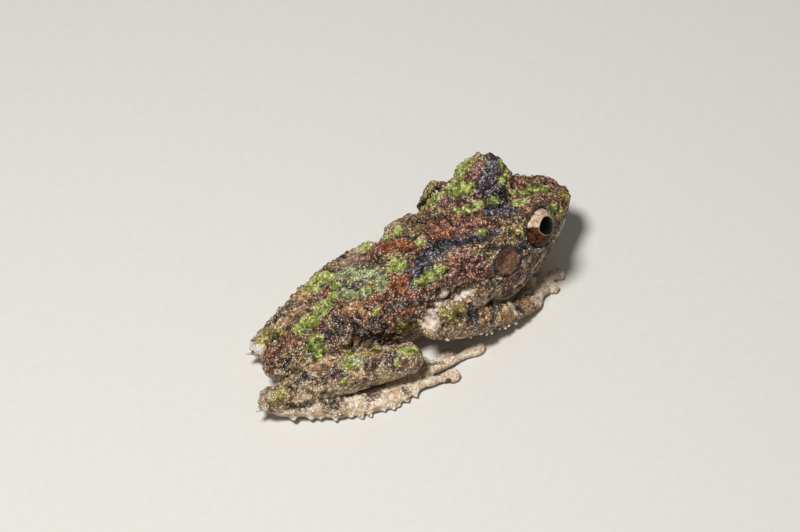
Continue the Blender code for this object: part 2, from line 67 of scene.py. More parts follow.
MM = 0.001
SNOUT_VENT = 34.6
SPINE_Y = 0.4
HEAD_TURN = math.radians(6.0)
NECK_X = 2.0
NECK_LONG = 6.0
SKIN_GRAIN = 0.12
SKIN_TRIANGLES = 196000
EASING_ROUNDS = 4
EYE_RADIUS = 2.1
EYE_AT = (10.3, 3.9, 8.5)
GAZE = (0.45, 0.74, 0.5)
SOCKET_GAP = 0.04
LID_THICK = 0.34
LID_OPEN = {"front": 1.24, "rear": 1.1, "below": 1.2}
LID_OPEN_ABOVE = {-1: 0.93, 1: 0.6}
EAR_AT = (6.2, 5.45, 8.1)
EAR_FACE = (-0.12, 0.8, 0.56)
EAR_RADIUS = 1.4
EAR_DEPTH = 1.6
FAR_AWAY = 99.0
NOSTRIL_AT = (15.9, 1.35, 6.75)
# Rises of the head. Brow and crown: place and half sizes. Crest, snout ridge and ear fold: path,
# and half width and half thickness along it. The brow's place counts from the eye, the fold's
# path from the ear drum, but for its first point, which counts from the eye.
BROW = ((-0.15, -0.1, 0.68), (2.8, 2.4, 2.42))
CROWN = ((9.8, 3.0, 8.9), (3.1, 2.1, 2.0))
CREST = ([(9.6, 3.6, 9.3), (7.0, 3.7, 9.0), (4.0, 3.4, 8.9)], [(1.7, 1.4), (1.6, 1.1), (1.2, 0.7)])
SNOUT_RIDGE = ([(12.0, 3.0, 7.9), (14.0, 2.1, 7.55), (15.9, 1.3, 6.75)],
               [(0.7, 0.75), (0.5, 0.5), (0.55, 0.5)])
FOLD_START = (-1.9, 0.75, -0.5)
EAR_FOLD = ([(-0.5, -0.1, 1.62), (-1.9, 0.0, 0.2), (-1.9, -0.1, -1.6)],
            [(0.34, 0.42), (0.32, 0.45), (0.34, 0.5), (0.3, 0.35)])

# Lines along the body, by distance behind the snout tip
TOP_Z = [(0, 5.8), (0.8, 6.7), (2, 7.35), (4, 8.2), (6.5, 9.1), (9, 9.6), (12, 9.9),
         (16, 9.9), (20, 9.4), (24, 8.3), (28, 6.7), (31.5, 5.1), (33.8, 3.9), (34.6, 2.9)]
RIDGE_Y = [(0, 0), (0.8, 1.6), (2, 2.2), (4, 2.9), (6.5, 3.8), (9, 4.8), (11.5, 5.0),
           (14, 4.3), (18, 3.6), (22, 3.4), (26, 2.8), (30, 2.1), (33.8, 1.1), (34.6, 0)]
RIDGE_Z = [(0, 5.8), (0.8, 6.6), (2, 7.15), (4, 7.9), (6.5, 8.7), (9, 9.15), (11.5, 9.2),
           (14, 8.8), (18, 8.3), (22, 7.5), (26, 6.3), (30, 4.8), (33.8, 3.5), (34.6, 2.9)]
SIDE_Y = [(0, 0), (0.8, 1.5), (2.2, 2.7), (3.5, 3.5), (5, 4.3), (8, 5.4), (11, 6.0),
          (13, 5.8), (15, 4.9), (18, 4.8), (22, 4.6), (26, 3.6), (30, 2.6), (33.8, 1.5), (34.6, 0)]
SIDE_Z = [(0, 5.5), (0.8, 5.5), (2.2, 5.4), (3.5, 5.3), (5, 5.3), (8, 5.3), (11, 5.2),
          (13, 5.1), (15, 5.1), (22, 4.9), (26, 4.2), (30, 3.4), (34.6, 2.8)]
UNDER_Y = [(0, 0), (0.8, 0.9), (2.2, 1.9), (3.5, 2.6), (5, 3.3), (8, 4.3), (11, 4.9),
           (13, 4.6), (15, 3.8), (18, 3.6), (22, 3.5), (26, 2.9), (30, 2.1), (33.8, 1.1), (34.6, 0)]
UNDER_Z = [(0, 5.2), (0.8, 4.4), (2.2, 3.9), (3.5, 3.5), (5, 3.2), (8, 2.7), (11, 2.3),
           (13, 2.1), (15, 1.8), (18, 1.5), (22, 1.3), (26, 1.3), (30, 1.4), (33.8, 2.0), (34.6, 2.7)]
BELLY_Z = [(0, 5.1), (1, 4.0), (3, 3.1), (6, 2.4), (10, 1.7), (13.5, 0.6), (16, -0.4),
           (18, -0.5), (24, -0.5), (27, -0.2), (31, 0.7), (34.6, 2.5)]
MOUTH_Z = [(-2, 5.2), (0.6, 5.12), (3, 4.8), (6, 4.6), (9, 4.35), (12.2, 3.9), (14, 3.6)]

# Joints of the limbs and tips of the digits: x forward, y outward, z up
ARM = {
    "right": {"shoulder": (4.4, 4.3, 5.4), "elbow": (-1.9, 5.3, 5.0), "wrist": (6.5, 5.7, 1.6),
              "palm": (9.0, 4.7, 0.55),
              "tips": [(9.8, 2.0, 0.4), (11.6, 1.2, 0.4), (13.1, 3.0, 0.4), (11.7, 4.2, 0.4)]},
    "left": {"shoulder": (4.8, 5.0, 5.2), "elbow": (1.3, 6.8, 4.4), "wrist": (8.0, 7.0, 1.6),
             "palm": (9.8, 6.2, 0.55),
             "tips": [(10.4, 3.5, 0.4), (12.2, 2.9, 0.4), (14.0, 4.2, 0.4), (13.2, 6.0, 0.4)]},
}
LEG = {
    "right": {"hip": (-13.6, 2.3, 2.9), "knee": (-6.6, 4.9, 2.5), "shin": (-5.5, 6.3, 3.3),
              "calf": (-11.0, 4.4, 3.0), "heel": (-18.2, 2.6, 2.2), "ankle": (-12.8, 5.9, 0.85),
              "sole": (-8.6, 7.0, 0.5),
              "tips": [(-5.4, 5.2, 0.4), (-3.4, 5.3, 0.4), (-0.9, 5.9, 0.4), (1.9, 6.7, 0.4),
                       (-1.8, 8.3, 0.4)]},
    "left": {"hip": (-12.9, 3.0, 2.9), "knee": (-3.6, 5.6, 2.5), "shin": (-2.0, 6.9, 3.3),
             "calf": (-7.6, 5.7, 3.1), "heel": (-15.7, 3.7, 2.2), "ankle": (-10.4, 6.7, 0.85),
             "sole": (-6.3, 8.0, 0.5),
             "tips": [(-3.2, 6.5, 0.4), (-1.2, 6.9, 0.4), (1.3, 7.6, 0.4), (4.2, 8.9, 0.4),
                      (0.5, 9.9, 0.4)]},
}
SIDES = (("right", -1), ("left", 1))
# Half width and half thickness of each limb at its start, middle and end
HALF = {"upper_arm": [(1.4, 1.4), (1.4, 1.4), (1.25, 1.25)],
        "forearm": [(1.45, 1.45), (1.75, 1.75), (1.0, 0.85)],
        "palm": [(0.95, 0.75), (1.25, 0.65), (0.8, 0.5)],
        "thigh": [(1.8, 1.8), (1.62, 1.9), (1.5, 1.5)],
        "shank": [(1.5, 1.5), (1.8, 1.95), (1.25, 1.25)],
        "tarsus": [(1.05, 1.05), (0.95, 0.95), (1.15, 0.9)],
        "sole": [(1.1, 0.8), (1.35, 0.65), (1.0, 0.5)]}
DIGIT_HALF = 0.5
FINGER_DISC = 0.92
TOE_DISC = 0.8
# How many tubercles each fringe has, and the radius of one
FRINGE = {"forearm": (11, 0.26), "foot": (13, 0.34), "shank": (9, 0.2), "vent": (7, 0.24)}
SPUR = 0.42


def through(knots, at):
    """Values at the places asked, on a smooth curve through (place, value) knots.

    Between two knots it is the cubic that has the slopes found from their neighbours.
    """
    place, value = np.array(knots, float).T
    slope = np.gradient(value, place)
    span = np.clip(np.searchsorted(place, at) - 1, 0, len(place) - 2)
    step = place[span + 1] - place[span]
    t = (at - place[span]) / step
    start = (1 + 2 * t) * (1 - t) ** 2 * value[span] + t * (1 - t) ** 2 * step * slope[span]
    end = t * t * (3 - 2 * t) * value[span + 1] + t * t * (t - 1) * step * slope[span + 1]
    return start + end


def curve(p0, p1, p2, p3, f):
    """The cubic from p1 (f = 0) to p2 (f = 1) with slopes (p2 - p0) / 2 and (p3 - p1) / 2."""
    return 0.5 * (2 * p1 + (p2 - p0) * f + (2 * p0 - 5 * p1 + 4 * p2 - p3) * f**2
                  + (3 * p1 - p0 - 3 * p2 + p3) * f**3)


def along(rows, t):
    """Points on a smooth curve through the rows, for t from 0 to 1, evenly by row."""
    rows = np.array(rows, float)
    padded = np.vstack([2 * rows[0] - rows[1], rows, 2 * rows[-1] - rows[-2]])
    place = np.clip(t, 0, 1) * (len(rows) - 1)
    span = np.minimum(place.astype(int), len(rows) - 2)
    return curve(*(padded[span + k] for k in range(4)), (place - span)[:, None])


def midline(x):
    """The midline's turn at x, and how far to the left it lies there.

    The turn grows over the neck as a smooth step up to HEAD_TURN.
    """
    t = np.clip((x - NECK_X) / NECK_LONG, 0, 1)
    turn = HEAD_TURN * t * t * (3 - 2 * t)
    ahead = NECK_LONG * (t**3 - t**4 / 2) + np.maximum(x - NECK_X - NECK_LONG, 0)
    return turn, SPINE_Y + math.tan(HEAD_TURN) * ahead


def bent(points):
    """Points of a straight frog moved onto its midline, which turns to the left at the neck."""
    points = np.array(points, float)
    x, y = points[..., 0].copy(), points[..., 1].copy()
    turn, middle = midline(x)
    points[..., 0] = x - y * np.sin(turn)
    points[..., 1] = middle + y * np.cos(turn)
    return points


def placed(spots, side):
    """Spots given as forward, outward and up, on the left (1) or right (-1) of the frog."""
    return np.array(spots, float) * (1, side, 1)


def on_head(spots, side):
    """Spots of the head on one side of its midline, turned with the head."""
    return bent(placed(spots, side))


def joints(word, side):
    """The joints of one side's arm and of its leg, by name, with the tips of the digits."""
    return ({name: placed(spots, side) for name, spots in limb[word].items()} for limb in (ARM, LEG))


def closed_grid(rings, first, last):
    """Vertices and triangles of a closed form from a grid of rings and its two end points."""
    count, sides = rings.shape[:2]
    verts = np.vstack([rings.reshape(-1, 3), [first], [last]])
    ring = np.arange(count - 1)[:, None] * sides
    side = np.arange(sides)[None, :]
    after = (side + 1) % sides
    a, b, c, d = ring + side, ring + after, ring + sides + after, ring + sides + side
    faces = np.concatenate([np.stack([a, b, c], -1).reshape(-1, 3),
                            np.stack([a, c, d], -1).reshape(-1, 3)])
    top, end = count * sides, (count - 1) * sides
    near = np.stack([0 * side[0] + top, after[0], side[0]], -1)
    far = np.stack([0 * side[0] + top + 1, end + side[0], end + after[0]], -1)
    faces = np.concatenate([faces, near, far])
    corners = verts[faces] - verts.mean(0)
    volume = np.einsum("ij,ij->", corners[:, 0], np.cross(corners[:, 1], corners[:, 2]))
    return verts, faces if volume > 0 else faces[:, ::-1]


def section_through(keys, sides):
    """Closed smooth curves through the key points of each ring; keys is (rings, keys, 3)."""
    count = keys.shape[1]
    t = np.arange(sides) * count / sides
    span = t.astype(int)
    return curve(*(keys[:, (span + k) % count] for k in (-1, 0, 1, 2)), (t - span)[None, :, None])


def body_form():
    """Head and trunk: rings through the back, ridge, side, under and belly lines.

    Ring number n of 150 stands SNOUT_VENT * (1 - cos(pi * n / 149)) / 2 behind the snout, so
    the rings are closest together at both ends.
    """
    turn = np.linspace(0, math.pi, 150)
    behind = SNOUT_VENT * (1 - np.cos(turn)) / 2

    def line(knots):
        angle = np.arccos(1 - 2 * np.array(knots, float)[:, 0] / SNOUT_VENT)
        return through(np.column_stack([angle, np.array(knots)[:, 1]]), turn)

    x = SNOUT_VENT / 2 - behind
    lines = [(0, line(TOP_Z)), (line(RIDGE_Y), line(RIDGE_Z)), (line(SIDE_Y), line(SIDE_Z)),
             (line(UNDER_Y), line(UNDER_Z)), (0, line(BELLY_Z))]
    keys = [np.stack([x, y + 0 * x, z], -1) for y, z in lines]
    mirrored = [keys[k] * [1, -1, 1] for k in (3, 2, 1)]
    grid = bent(section_through(np.stack(keys + mirrored, 1), 120))
    return closed_grid(grid[1:-1], grid[0, 0], grid[-1, 0])


def turns(sides):
    """Angles spread evenly round a full turn."""
    return np.arange(sides) * 2 * math.pi / sides


def tube(path, half, sides=24, rings=30, caps=8):
    """A closed limb: elliptical rings carried along a smooth path, ending in round caps.

    half gives, for each point of the path, the half width across and the half thickness up.
    """
    t = np.linspace(0, 1, rings)
    centre = along(path, t)
    size = along(half, t)
    ahead = along(path, t + 0.01) - along(path, t - 0.01)
    ahead /= np.linalg.norm(ahead, axis=1)[:, None]
    quarter = (np.arange(caps) + 0.5) / (caps + 0.5) * math.pi / 2
    reach = size.mean(1)
    start = centre[0] - np.outer(np.cos(quarter), ahead[0]) * reach[0]
    end = centre[-1] + np.outer(np.cos(quarter[::-1]), ahead[-1]) * reach[-1]
    centres = np.vstack([start, centre, end])
    sizes = np.vstack([np.outer(np.sin(quarter), size[0]), size,
                       np.outer(np.sin(quarter[::-1]), size[-1])])
    aheads = np.vstack([np.repeat(ahead[:1], caps, 0), ahead, np.repeat(ahead[-1:], caps, 0)])
    across = np.cross([0, 0, 1], aheads)
    across /= np.linalg.norm(across, axis=1)[:, None]
    up = np.cross(aheads, across)
    angle = turns(sides)
    grid = (centres[:, None] + across[:, None] * (sizes[:, :1] * np.cos(angle))[..., None]
            + up[:, None] * (sizes[:, 1:] * np.sin(angle))[..., None])
    return closed_grid(grid, centre[0] - ahead[0] * reach[0], centre[-1] + ahead[-1] * reach[-1])


def ball(centre, radii, sides=48, rings=30):
    """A closed ellipsoid with its poles up and down.

    centre + radii * (cos lift * cos angle, cos lift * sin angle, sin lift)
    """
    lift = np.linspace(math.pi / 2, -math.pi / 2, rings + 2)[1:-1]
    angle = turns(sides)
    grid = np.stack([np.outer(np.cos(lift), np.cos(angle)), np.outer(np.cos(lift), np.sin(angle)),
                     np.outer(np.sin(lift), np.ones(sides))], -1) * radii + centre
    return closed_grid(grid, np.add(centre, (0, 0, radii[2])), np.subtract(centre, (0, 0, radii[2])))


def cone(root, tip, radius, sides=10):
    """A blunt tubercle from a root inside the skin to its rounded tip.

    Its radius shrinks along the way as the pairs (share of the way, share of the radius) say.
    """
    root, tip = np.array(root, float), np.array(tip, float)
    lean = (tip - root) / np.linalg.norm(tip - root)
    across = np.cross(lean, (0.0, 0.0, 1.0) if abs(lean[2]) < 0.9 else (1.0, 0.0, 0.0))
    across /= np.linalg.norm(across)
    up = np.cross(lean, across)
    angle = turns(sides)
    grid = [root + (tip - root) * share
            + radius * size * (np.outer(np.cos(angle), across) + np.outer(np.sin(angle), up))
            for share, size in ((0, 1.0), (0.5, 0.85), (0.8, 0.52), (0.95, 0.25))]
    return closed_grid(np.array(grid), root, tip)


def joined(forms):
    """One list of vertices and one of triangles from many forms."""
    verts, faces, start = [], [], 0
    for points, corners in forms:
        verts.append(points)
        faces.append(corners + start)
        start += len(points)
    return np.concatenate(verts), np.concatenate(faces)


def mesh_object(name, verts, faces):
    """A mesh object from arrays, in the units of the arrays."""
    mesh = bpy.data.meshes.new(name)
    mesh.from_pydata(verts.tolist(), [], faces.tolist())
    made = bpy.data.objects.new(name, mesh)
    bpy.context.scene.collection.objects.link(made)
    return made


def applied(item):
    """The object's mesh with its modifiers applied; the object is removed."""
    bpy.context.view_layer.update()
    graph = bpy.context.evaluated_depsgraph_get()
    mesh = bpy.data.meshes.new_from_object(item.evaluated_get(graph))
    bpy.data.objects.remove(item)
    return mesh


def boolean(forms, others, operation):
    """The first forms joined with the others, or cut by them, as vertices and triangles."""
    target = mesh_object("target", *forms)
    group = bpy.data.collections.new("others")
    for other in others:
        piece = mesh_object("other", *other)
        bpy.context.scene.collection.objects.unlink(piece)
        group.objects.link(piece)
    change = target.modifiers.new(operation.lower(), "BOOLEAN")
    change.operand_type = "COLLECTION"
    change.collection = group
    change.operation = operation
    change.solver = "MANIFOLD"
    mesh = applied(target)
    for piece in list(group.objects):
        bpy.data.objects.remove(piece)
    bpy.data.collections.remove(group)
    return arrays_of(mesh)


def arrays_of(mesh):
    """Vertices and triangles of a mesh."""
    mesh.calc_loop_triangles()
    verts = np.empty(len(mesh.vertices) * 3, np.float32)
    mesh.vertices.foreach_get("co", verts)
    faces = np.empty(len(mesh.loop_triangles) * 3, np.int32)
    mesh.loop_triangles.foreach_get("vertices", faces)
    return verts.reshape(-1, 3).astype(float), faces.reshape(-1, 3)


def eye_frame(side):
    """The eye's own directions: along its gaze, level to the front, and up across the gaze."""
    gaze = placed(GAZE, side)
    gaze /= np.linalg.norm(gaze)
    level = np.array((1.0, 0.0, 0.0)) - gaze * gaze[0]
    level /= np.linalg.norm(level)
    above = np.cross(gaze, level)
    return gaze, level, above if above[2] > 0 else -above


def lid_opening(eye, side):
    """The room between the lids: all directions from the eye within an oval round its gaze.

    The oval's reach from the gaze, in radians, is LID_OPEN, and the form runs from inside the
    eyeball to outside the lids.
    """
    gaze, level, above = eye_frame(side)
    angle = turns(48)
    long = np.where(np.cos(angle) > 0, LID_OPEN["front"], LID_OPEN["rear"])
    rise = np.where(np.sin(angle) > 0, LID_OPEN_ABOVE[side], LID_OPEN["below"])
    flare = np.where(np.sin(angle) > 0, 1.0, 1.12)
    reach = 1 / np.sqrt((np.cos(angle) / long) ** 2 + (np.sin(angle) / rise) ** 2)
    around = np.outer(np.cos(angle), level) + np.outer(np.sin(angle), above)
    shares = np.linspace(0.15, 1, 7)
    inside, outside = EYE_RADIUS * 0.5, EYE_RADIUS + 1.6
    rings = [radius * (np.cos(share * wide)[:, None] * gaze + np.sin(share * wide)[:, None] * around)
             for radius, order, wide in ((outside, shares, reach * flare),
                                         (inside, shares[::-1], reach * 0.94))
             for share in order]
    return closed_grid(eye + np.array(rings), eye + gaze * outside, eye + gaze * inside)


def head_and_trunk():
    """The body form with brows, lids, snout ridges and ear folds, cut open over the eyes."""
    raised, hollows = [], []
    for _, side in SIDES:
        eye = on_head(EYE_AT, side)
        ear = on_head(EAR_AT, side)
        lid = EYE_RADIUS + LID_THICK
        lids = ball(eye + (0, 0, 0.02), (lid * 1.02, lid, lid))
        brow = ball(eye + placed(BROW[0], side), BROW[1])
        crown = ball(on_head(CROWN[0], side), CROWN[1])
        crest, snout_ridge = (tube(on_head(path, side), half) for path, half in (CREST, SNOUT_RIDGE))
        ear_fold = tube([eye + placed(FOLD_START, side), *(ear + placed(EAR_FOLD[0], side))], EAR_FOLD[1])
        raised += [lids, brow, crown, crest, snout_ridge, ear_fold]
        hollows += [ball(eye, (EYE_RADIUS + SOCKET_GAP,) * 3), lid_opening(eye, side)]
    body = boolean(body_form(), raised, "UNION")
    return boolean(body, hollows, "DIFFERENCE")


def digit(start, end, half, disc):
    """A finger or toe that arches from the palm, with knuckles and a round disc at its tip.

    Each knot is its share of the way, its rise and its share of the half width.
    """
    knots = ((0.0, 0.05, 1.25), (0.2, 0.2, 1.05), (0.36, 0.28, 1.18), (0.52, 0.24, 0.9),
             (0.66, 0.2, 1.06), (0.78, 0.1, 0.8), (0.87, 0.02, 0.95), (0.95, -0.02, disc / half),
             (1.0, -0.02, disc / half * 0.95))
    path = [start + (end - start) * share + (0, 0, rise) for share, rise, _ in knots]
    wide = [(half * size, half * min(size, 1.0) * 0.9) for _, _, size in knots]
    return tube(path, wide, 20, 34, 6)


def fringe(points, outward, count, size):
    """A row of blunt tubercles along the outer edge of a limb, standing out sideways.

    Their forms come first, then their tips as strokes of one (x, y, z, radius) row.
    """
    made, tips = [], []
    row = np.linspace(0.04, 0.97, count) + 0.25 / count * np.sin(1.9 * np.arange(count))
    for number, spot in enumerate(along(points, row)):
        tall = size * (1.05 + 0.6 * math.sin(2.4 * number + 1))
        lean = np.array(outward) + (0.12 * math.sin(3.1 * number), 0, 0.1 * math.cos(4.7 * number))
        tip = spot + lean * (tall + 1.4 * size)
        made.append(cone(spot, tip, size * (0.95 + 0.2 * math.cos(5 * number))))
        tips.append([(*tip, 1.05 * size)])
    return made, tips


def web(sole, toes):
    """Thin skin between the toes: a fan from the sole out to the middle of each toe."""
    reach = np.array([sole - (1.0, 0, 0), *[sole + (tip - sole) * 0.46 for tip in toes]])
    reach[:, 2] = 0.3
    heart = reach.mean(0)
    edge = along(np.vstack([reach, reach[:1]]), np.linspace(0, 1, 61)[:-1])
    rings = [heart + (edge - heart) * share + (0, 0, rise)
             for share, rise in ((0.5, 0.22), (0.9, 0.2), (0.97, 0.0), (0.9, -0.2), (0.5, -0.22))]
    return closed_grid(np.array(rings), heart + (0, 0, 0.22), heart - (0, 0, 0.22))


def limbs():
    """The forms of both arms and legs, and the white tips of their fringes as strokes."""
    forms, white_tips = [], []
    for word, side in SIDES:
        arm, leg = joints(word, side)

        # Arm: upper arm, forearm, palm and fingers, with a fringe along the forearm
        shoulder, elbow, wrist, palm, fingers = arm.values()
        middle = (shoulder + elbow) / 2 + (0, 0.25 * side, 0.1)
        third = elbow * 0.62 + wrist * 0.38
        forms.append(tube([shoulder, middle, elbow], HALF["upper_arm"]))
        forms.append(tube([elbow, third, wrist], HALF["forearm"]))
        forms.append(tube([wrist + (0.4, 0, 0), palm, palm + (fingers[2] - palm) * 0.22], HALF["palm"]))
        forms += [digit(palm, tip, DIGIT_HALF, FINGER_DISC) for tip in fingers]
        edge = [elbow + (0.1, 1.15 * side, -0.75), (elbow + wrist) / 2 + (0.3, 1.35 * side, -0.85),
                wrist + (-0.2, 0.75 * side, -0.35)]
        cones, tips = fringe(edge, (0, 0.78 * side, -0.32), *FRINGE["forearm"])
        forms += cones
        white_tips += tips

        # Leg: thigh, shank, heel spur, tarsus, sole, toes and web, with fringes on foot and shank
        hip, knee, shin, calf, heel, ankle, sole, toes = leg.values()
        middle = (hip + knee) / 2 + (0, 0.2 * side, 0.1)
        forms.append(tube([hip, middle, knee], HALF["thigh"]))
        forms.append(tube([shin, calf, heel], HALF["shank"]))
        spur = heel + (-1.9, 0.25 * side, -0.25)
        forms.append(cone(heel + (-0.3, 0, 0), spur, SPUR))
        white_tips.append([(*spur, 0.6)])
        middle = (heel + ankle) / 2 + (0, 0.2 * side, -0.25)
        forms.append(tube([heel + (0.6, 0.35 * side, -0.75), middle, ankle], HALF["tarsus"]))
        forms.append(tube([ankle + (0.4, 0, -0.1), sole, sole + (toes[3] - sole) * 0.3], HALF["sole"]))
        forms += [digit(sole, tip, DIGIT_HALF, TOE_DISC) for tip in toes]
        forms.append(web(sole, toes))
        edge = [heel + (0.5, 1.3 * side, -1.2), ankle + (0, 0.85 * side, -0.35),
                sole + (0, 1.1 * side, -0.1), sole * 0.5 + toes[4] * 0.5 + (0, 0.2 * side, 0.1)]
        cones, tips = fringe(edge, (0, 0.75 * side, -0.12), *FRINGE["foot"])
        forms += cones
        white_tips += tips
        shin_edge = [shin + (-0.5, 1.2 * side, -0.4), calf + (0, 1.6 * side, -0.9),
                     heel + (0.5, 1.0 * side, -0.4)]
        forms += fringe(shin_edge, (0, 0.5 * side, 0.1), *FRINGE["shank"])[0]
    vent_edge = [(-15.4, -1.5, 3.9), (-16.6, 0.4, 3.5), (-15.4, 2.3, 3.9)]
    forms += fringe(vent_edge, (-0.6, 0.0, 0.25), *FRINGE["vent"])[0]
    return forms, white_tips


def cast(forms, grain):
    """One closed surface around all the forms, of even small faces about one grain wide."""
    item = mesh_object("cast", *joined(forms))
    remesh = item.modifiers.new("remesh", "REMESH")
    remesh.mode = "VOXEL"
    remesh.voxel_size = grain
    mesh = applied(item)
    return arrays_of(mesh)


def eased(verts, faces, rounds, share=0.5):
    """Each vertex moved part of the way to the middle of its neighbours, several times."""
    ends = np.concatenate([faces[:, [0, 1]], faces[:, [1, 2]], faces[:, [2, 0]]])
    count = np.bincount(ends[:, 0], minlength=len(verts)).clip(1)[:, None]
    for _ in range(rounds):
        total = np.stack([np.bincount(ends[:, 0], verts[ends[:, 1], k], len(verts))
                          for k in range(3)], -1)
        verts = verts + (total / count - verts) * share
    return verts


def normals_of(verts, faces):
    """The outward direction at each vertex: the sum of its triangles' directions, by area."""
    corners = verts[faces]
    face = np.cross(corners[:, 1] - corners[:, 0], corners[:, 2] - corners[:, 0])
    total = np.stack([np.bincount(faces.ravel(), np.repeat(face[:, k], 3), len(verts))
                      for k in range(3)], -1)
    return total / np.linalg.norm(total, axis=1).clip(1e-9)[:, None]


def ripples(points, size, seed, waves=16):
    """Gentle lumps of about one size, mostly from -1 to 1: plane waves in scattered directions.

    The sum of cos(p . direction * 2 pi / length + phase), with lengths spread round the size.
    """
    draw = np.random.default_rng(seed)
    heading = draw.normal(size=(3, waves))
    heading *= 2 * math.pi / (np.linalg.norm(heading, axis=0) * size * draw.uniform(0.75, 1.35, waves))
    return np.cos(points @ heading + draw.uniform(0, 2 * math.pi, waves)).sum(1) * math.sqrt(1 / waves)


def bell(values, middle, width):
    """1 at the middle, falling to both sides: exp(-((value - middle) / width)^2)."""
    return np.exp(-((values - middle) / width) ** 2)


def ramp(values, low, high):
    """0 up to low, 1 from high, and a smooth step between; low may lie above high."""
    t = np.clip((values - low) / (high - low), 0, 1)
    return t * t * (3 - 2 * t)


def nearness(points, strokes):
    """How near points lie to strokes of (x, y, z, radius) rows.

    1.2 - 0.7 * distance / radius, kept within 0 and 1, so 0.5 is at the radius.
    """
    best = np.zeros(len(points))
    for stroke in strokes:
        rows = np.array([stroke[0], *stroke], float)
        for start, end in zip(rows[:-1], rows[1:]):
            line = end[:3] - start[:3]
            share = np.clip((points - start[:3]) @ line / max(line @ line, 1e-9), 0, 1)
            away = np.linalg.norm(points - start[:3] - share[:, None] * line, axis=1)
            best = np.maximum(best, 1.2 - 0.7 * away / (start[3] + (end[3] - start[3]) * share))
    return best.clip(0, 1)


def straight(points):
    """Points moved back onto a frog whose midline is straight: the reverse of bent."""
    x = points[:, 0]
    for _ in range(4):
        turn, middle = midline(x)
        y = (points[:, 1] - middle) / np.cos(turn)
        x = points[:, 0] + y * np.sin(turn)
    return np.stack([x, y, points[:, 2]], -1)


def scattered(points, spacing, seed, tries):
    """Numbers of points picked in a random order, each farther than the spacing from the rest."""
    order = np.random.default_rng(seed).choice(len(points), min(tries, len(points)), replace=False)
    kept = np.empty((0, 3))
    chosen = []
    for number in order:
        if not len(kept) or ((kept - points[number]) ** 2).sum(1).min() > spacing**2:
            kept = np.vstack([kept, points[number]])
            chosen.append(number)
    return np.array(chosen)


def warts_on(verts, spots, radii, heights):
    """How far each vertex stands on a wart: height * (1 - (distance / radius)^2)^1.3, the tallest."""
    order = np.argsort(verts[:, 0])
    sorted_x = verts[order, 0]
    rise = np.zeros(len(verts))
    for spot, radius, height in zip(spots, radii, heights):
        low, high = np.searchsorted(sorted_x, (spot[0] - radius, spot[0] + radius))
        near = order[low:high]
        away = ((verts[near] - spot) ** 2).sum(1) / radius**2
        rise[near] = np.maximum(rise[near], height * np.clip(1 - away, 0, None) ** 1.3)
    return rise


def ear_distance(points, side):
    """Distance across the ear drum's plane from its middle, and distance out of the plane."""
    face = placed(EAR_FACE, side) / np.linalg.norm(EAR_FACE)
    reach = points - on_head(EAR_AT, side)
    out = reach @ face
    return np.linalg.norm(reach - out[:, None] * face, axis=1), out


def ear_reach(points):
    """Distance from the middle of the nearer ear drum, or far away for points off its plane."""
    return np.min([np.where(np.abs(out) < EAR_DEPTH, away, FAR_AWAY) for away, out in
                   (ear_distance(points, side) for _, side in SIDES)], 0)


def eye_reach(points):
    """Distance from the middle of the nearer eye."""
    return np.min([np.linalg.norm(points - on_head(EYE_AT, side), axis=1) for _, side in SIDES], 0)


def mouth_gap(points):
    """Height above the mouth line, and 1 along the mouth, falling to 0 past its corner."""
    at = straight(points)
    behind = SNOUT_VENT / 2 - at[:, 0]
    return at[:, 2] - through(MOUTH_Z, behind.clip(-2, 14)), ramp(behind, 12.2, 11.2)


# The photo's own frame: where the camera stands round the frog, and pixels for one millimetre
PHOTO_SIZE = (800, 532)
CAMERA_TURN = math.radians(-25.0)
CAMERA_RISE = math.radians(48.0)
CAMERA_ROLL = math.radians(7.15)
CAMERA_AWAY = 250.0
PIXELS_PER_MM = 10.33
ORIGIN_PIXEL = (426.1, 314.5)
CATCH = 3
STROKE_SPREAD = 1.15

sin_a, cos_a = math.sin(CAMERA_TURN), math.cos(CAMERA_TURN)
sin_e, cos_e = math.sin(CAMERA_RISE), math.cos(CAMERA_RISE)
camera_back = np.array((sin_a * cos_e, -cos_a * cos_e, sin_e))
level = np.array((cos_a, sin_a, 0.0))
rise = np.cross(camera_back, level)
camera_right = level * math.cos(CAMERA_ROLL) - rise * math.sin(CAMERA_ROLL)
camera_up = level * math.sin(CAMERA_ROLL) + rise * math.cos(CAMERA_ROLL)
camera_at = (camera_right * (PHOTO_SIZE[0] / 2 - ORIGIN_PIXEL[0]) / PIXELS_PER_MM
             + camera_up * (ORIGIN_PIXEL[1] - PHOTO_SIZE[1] / 2) / PIXELS_PER_MM
             + camera_back * CAMERA_AWAY)

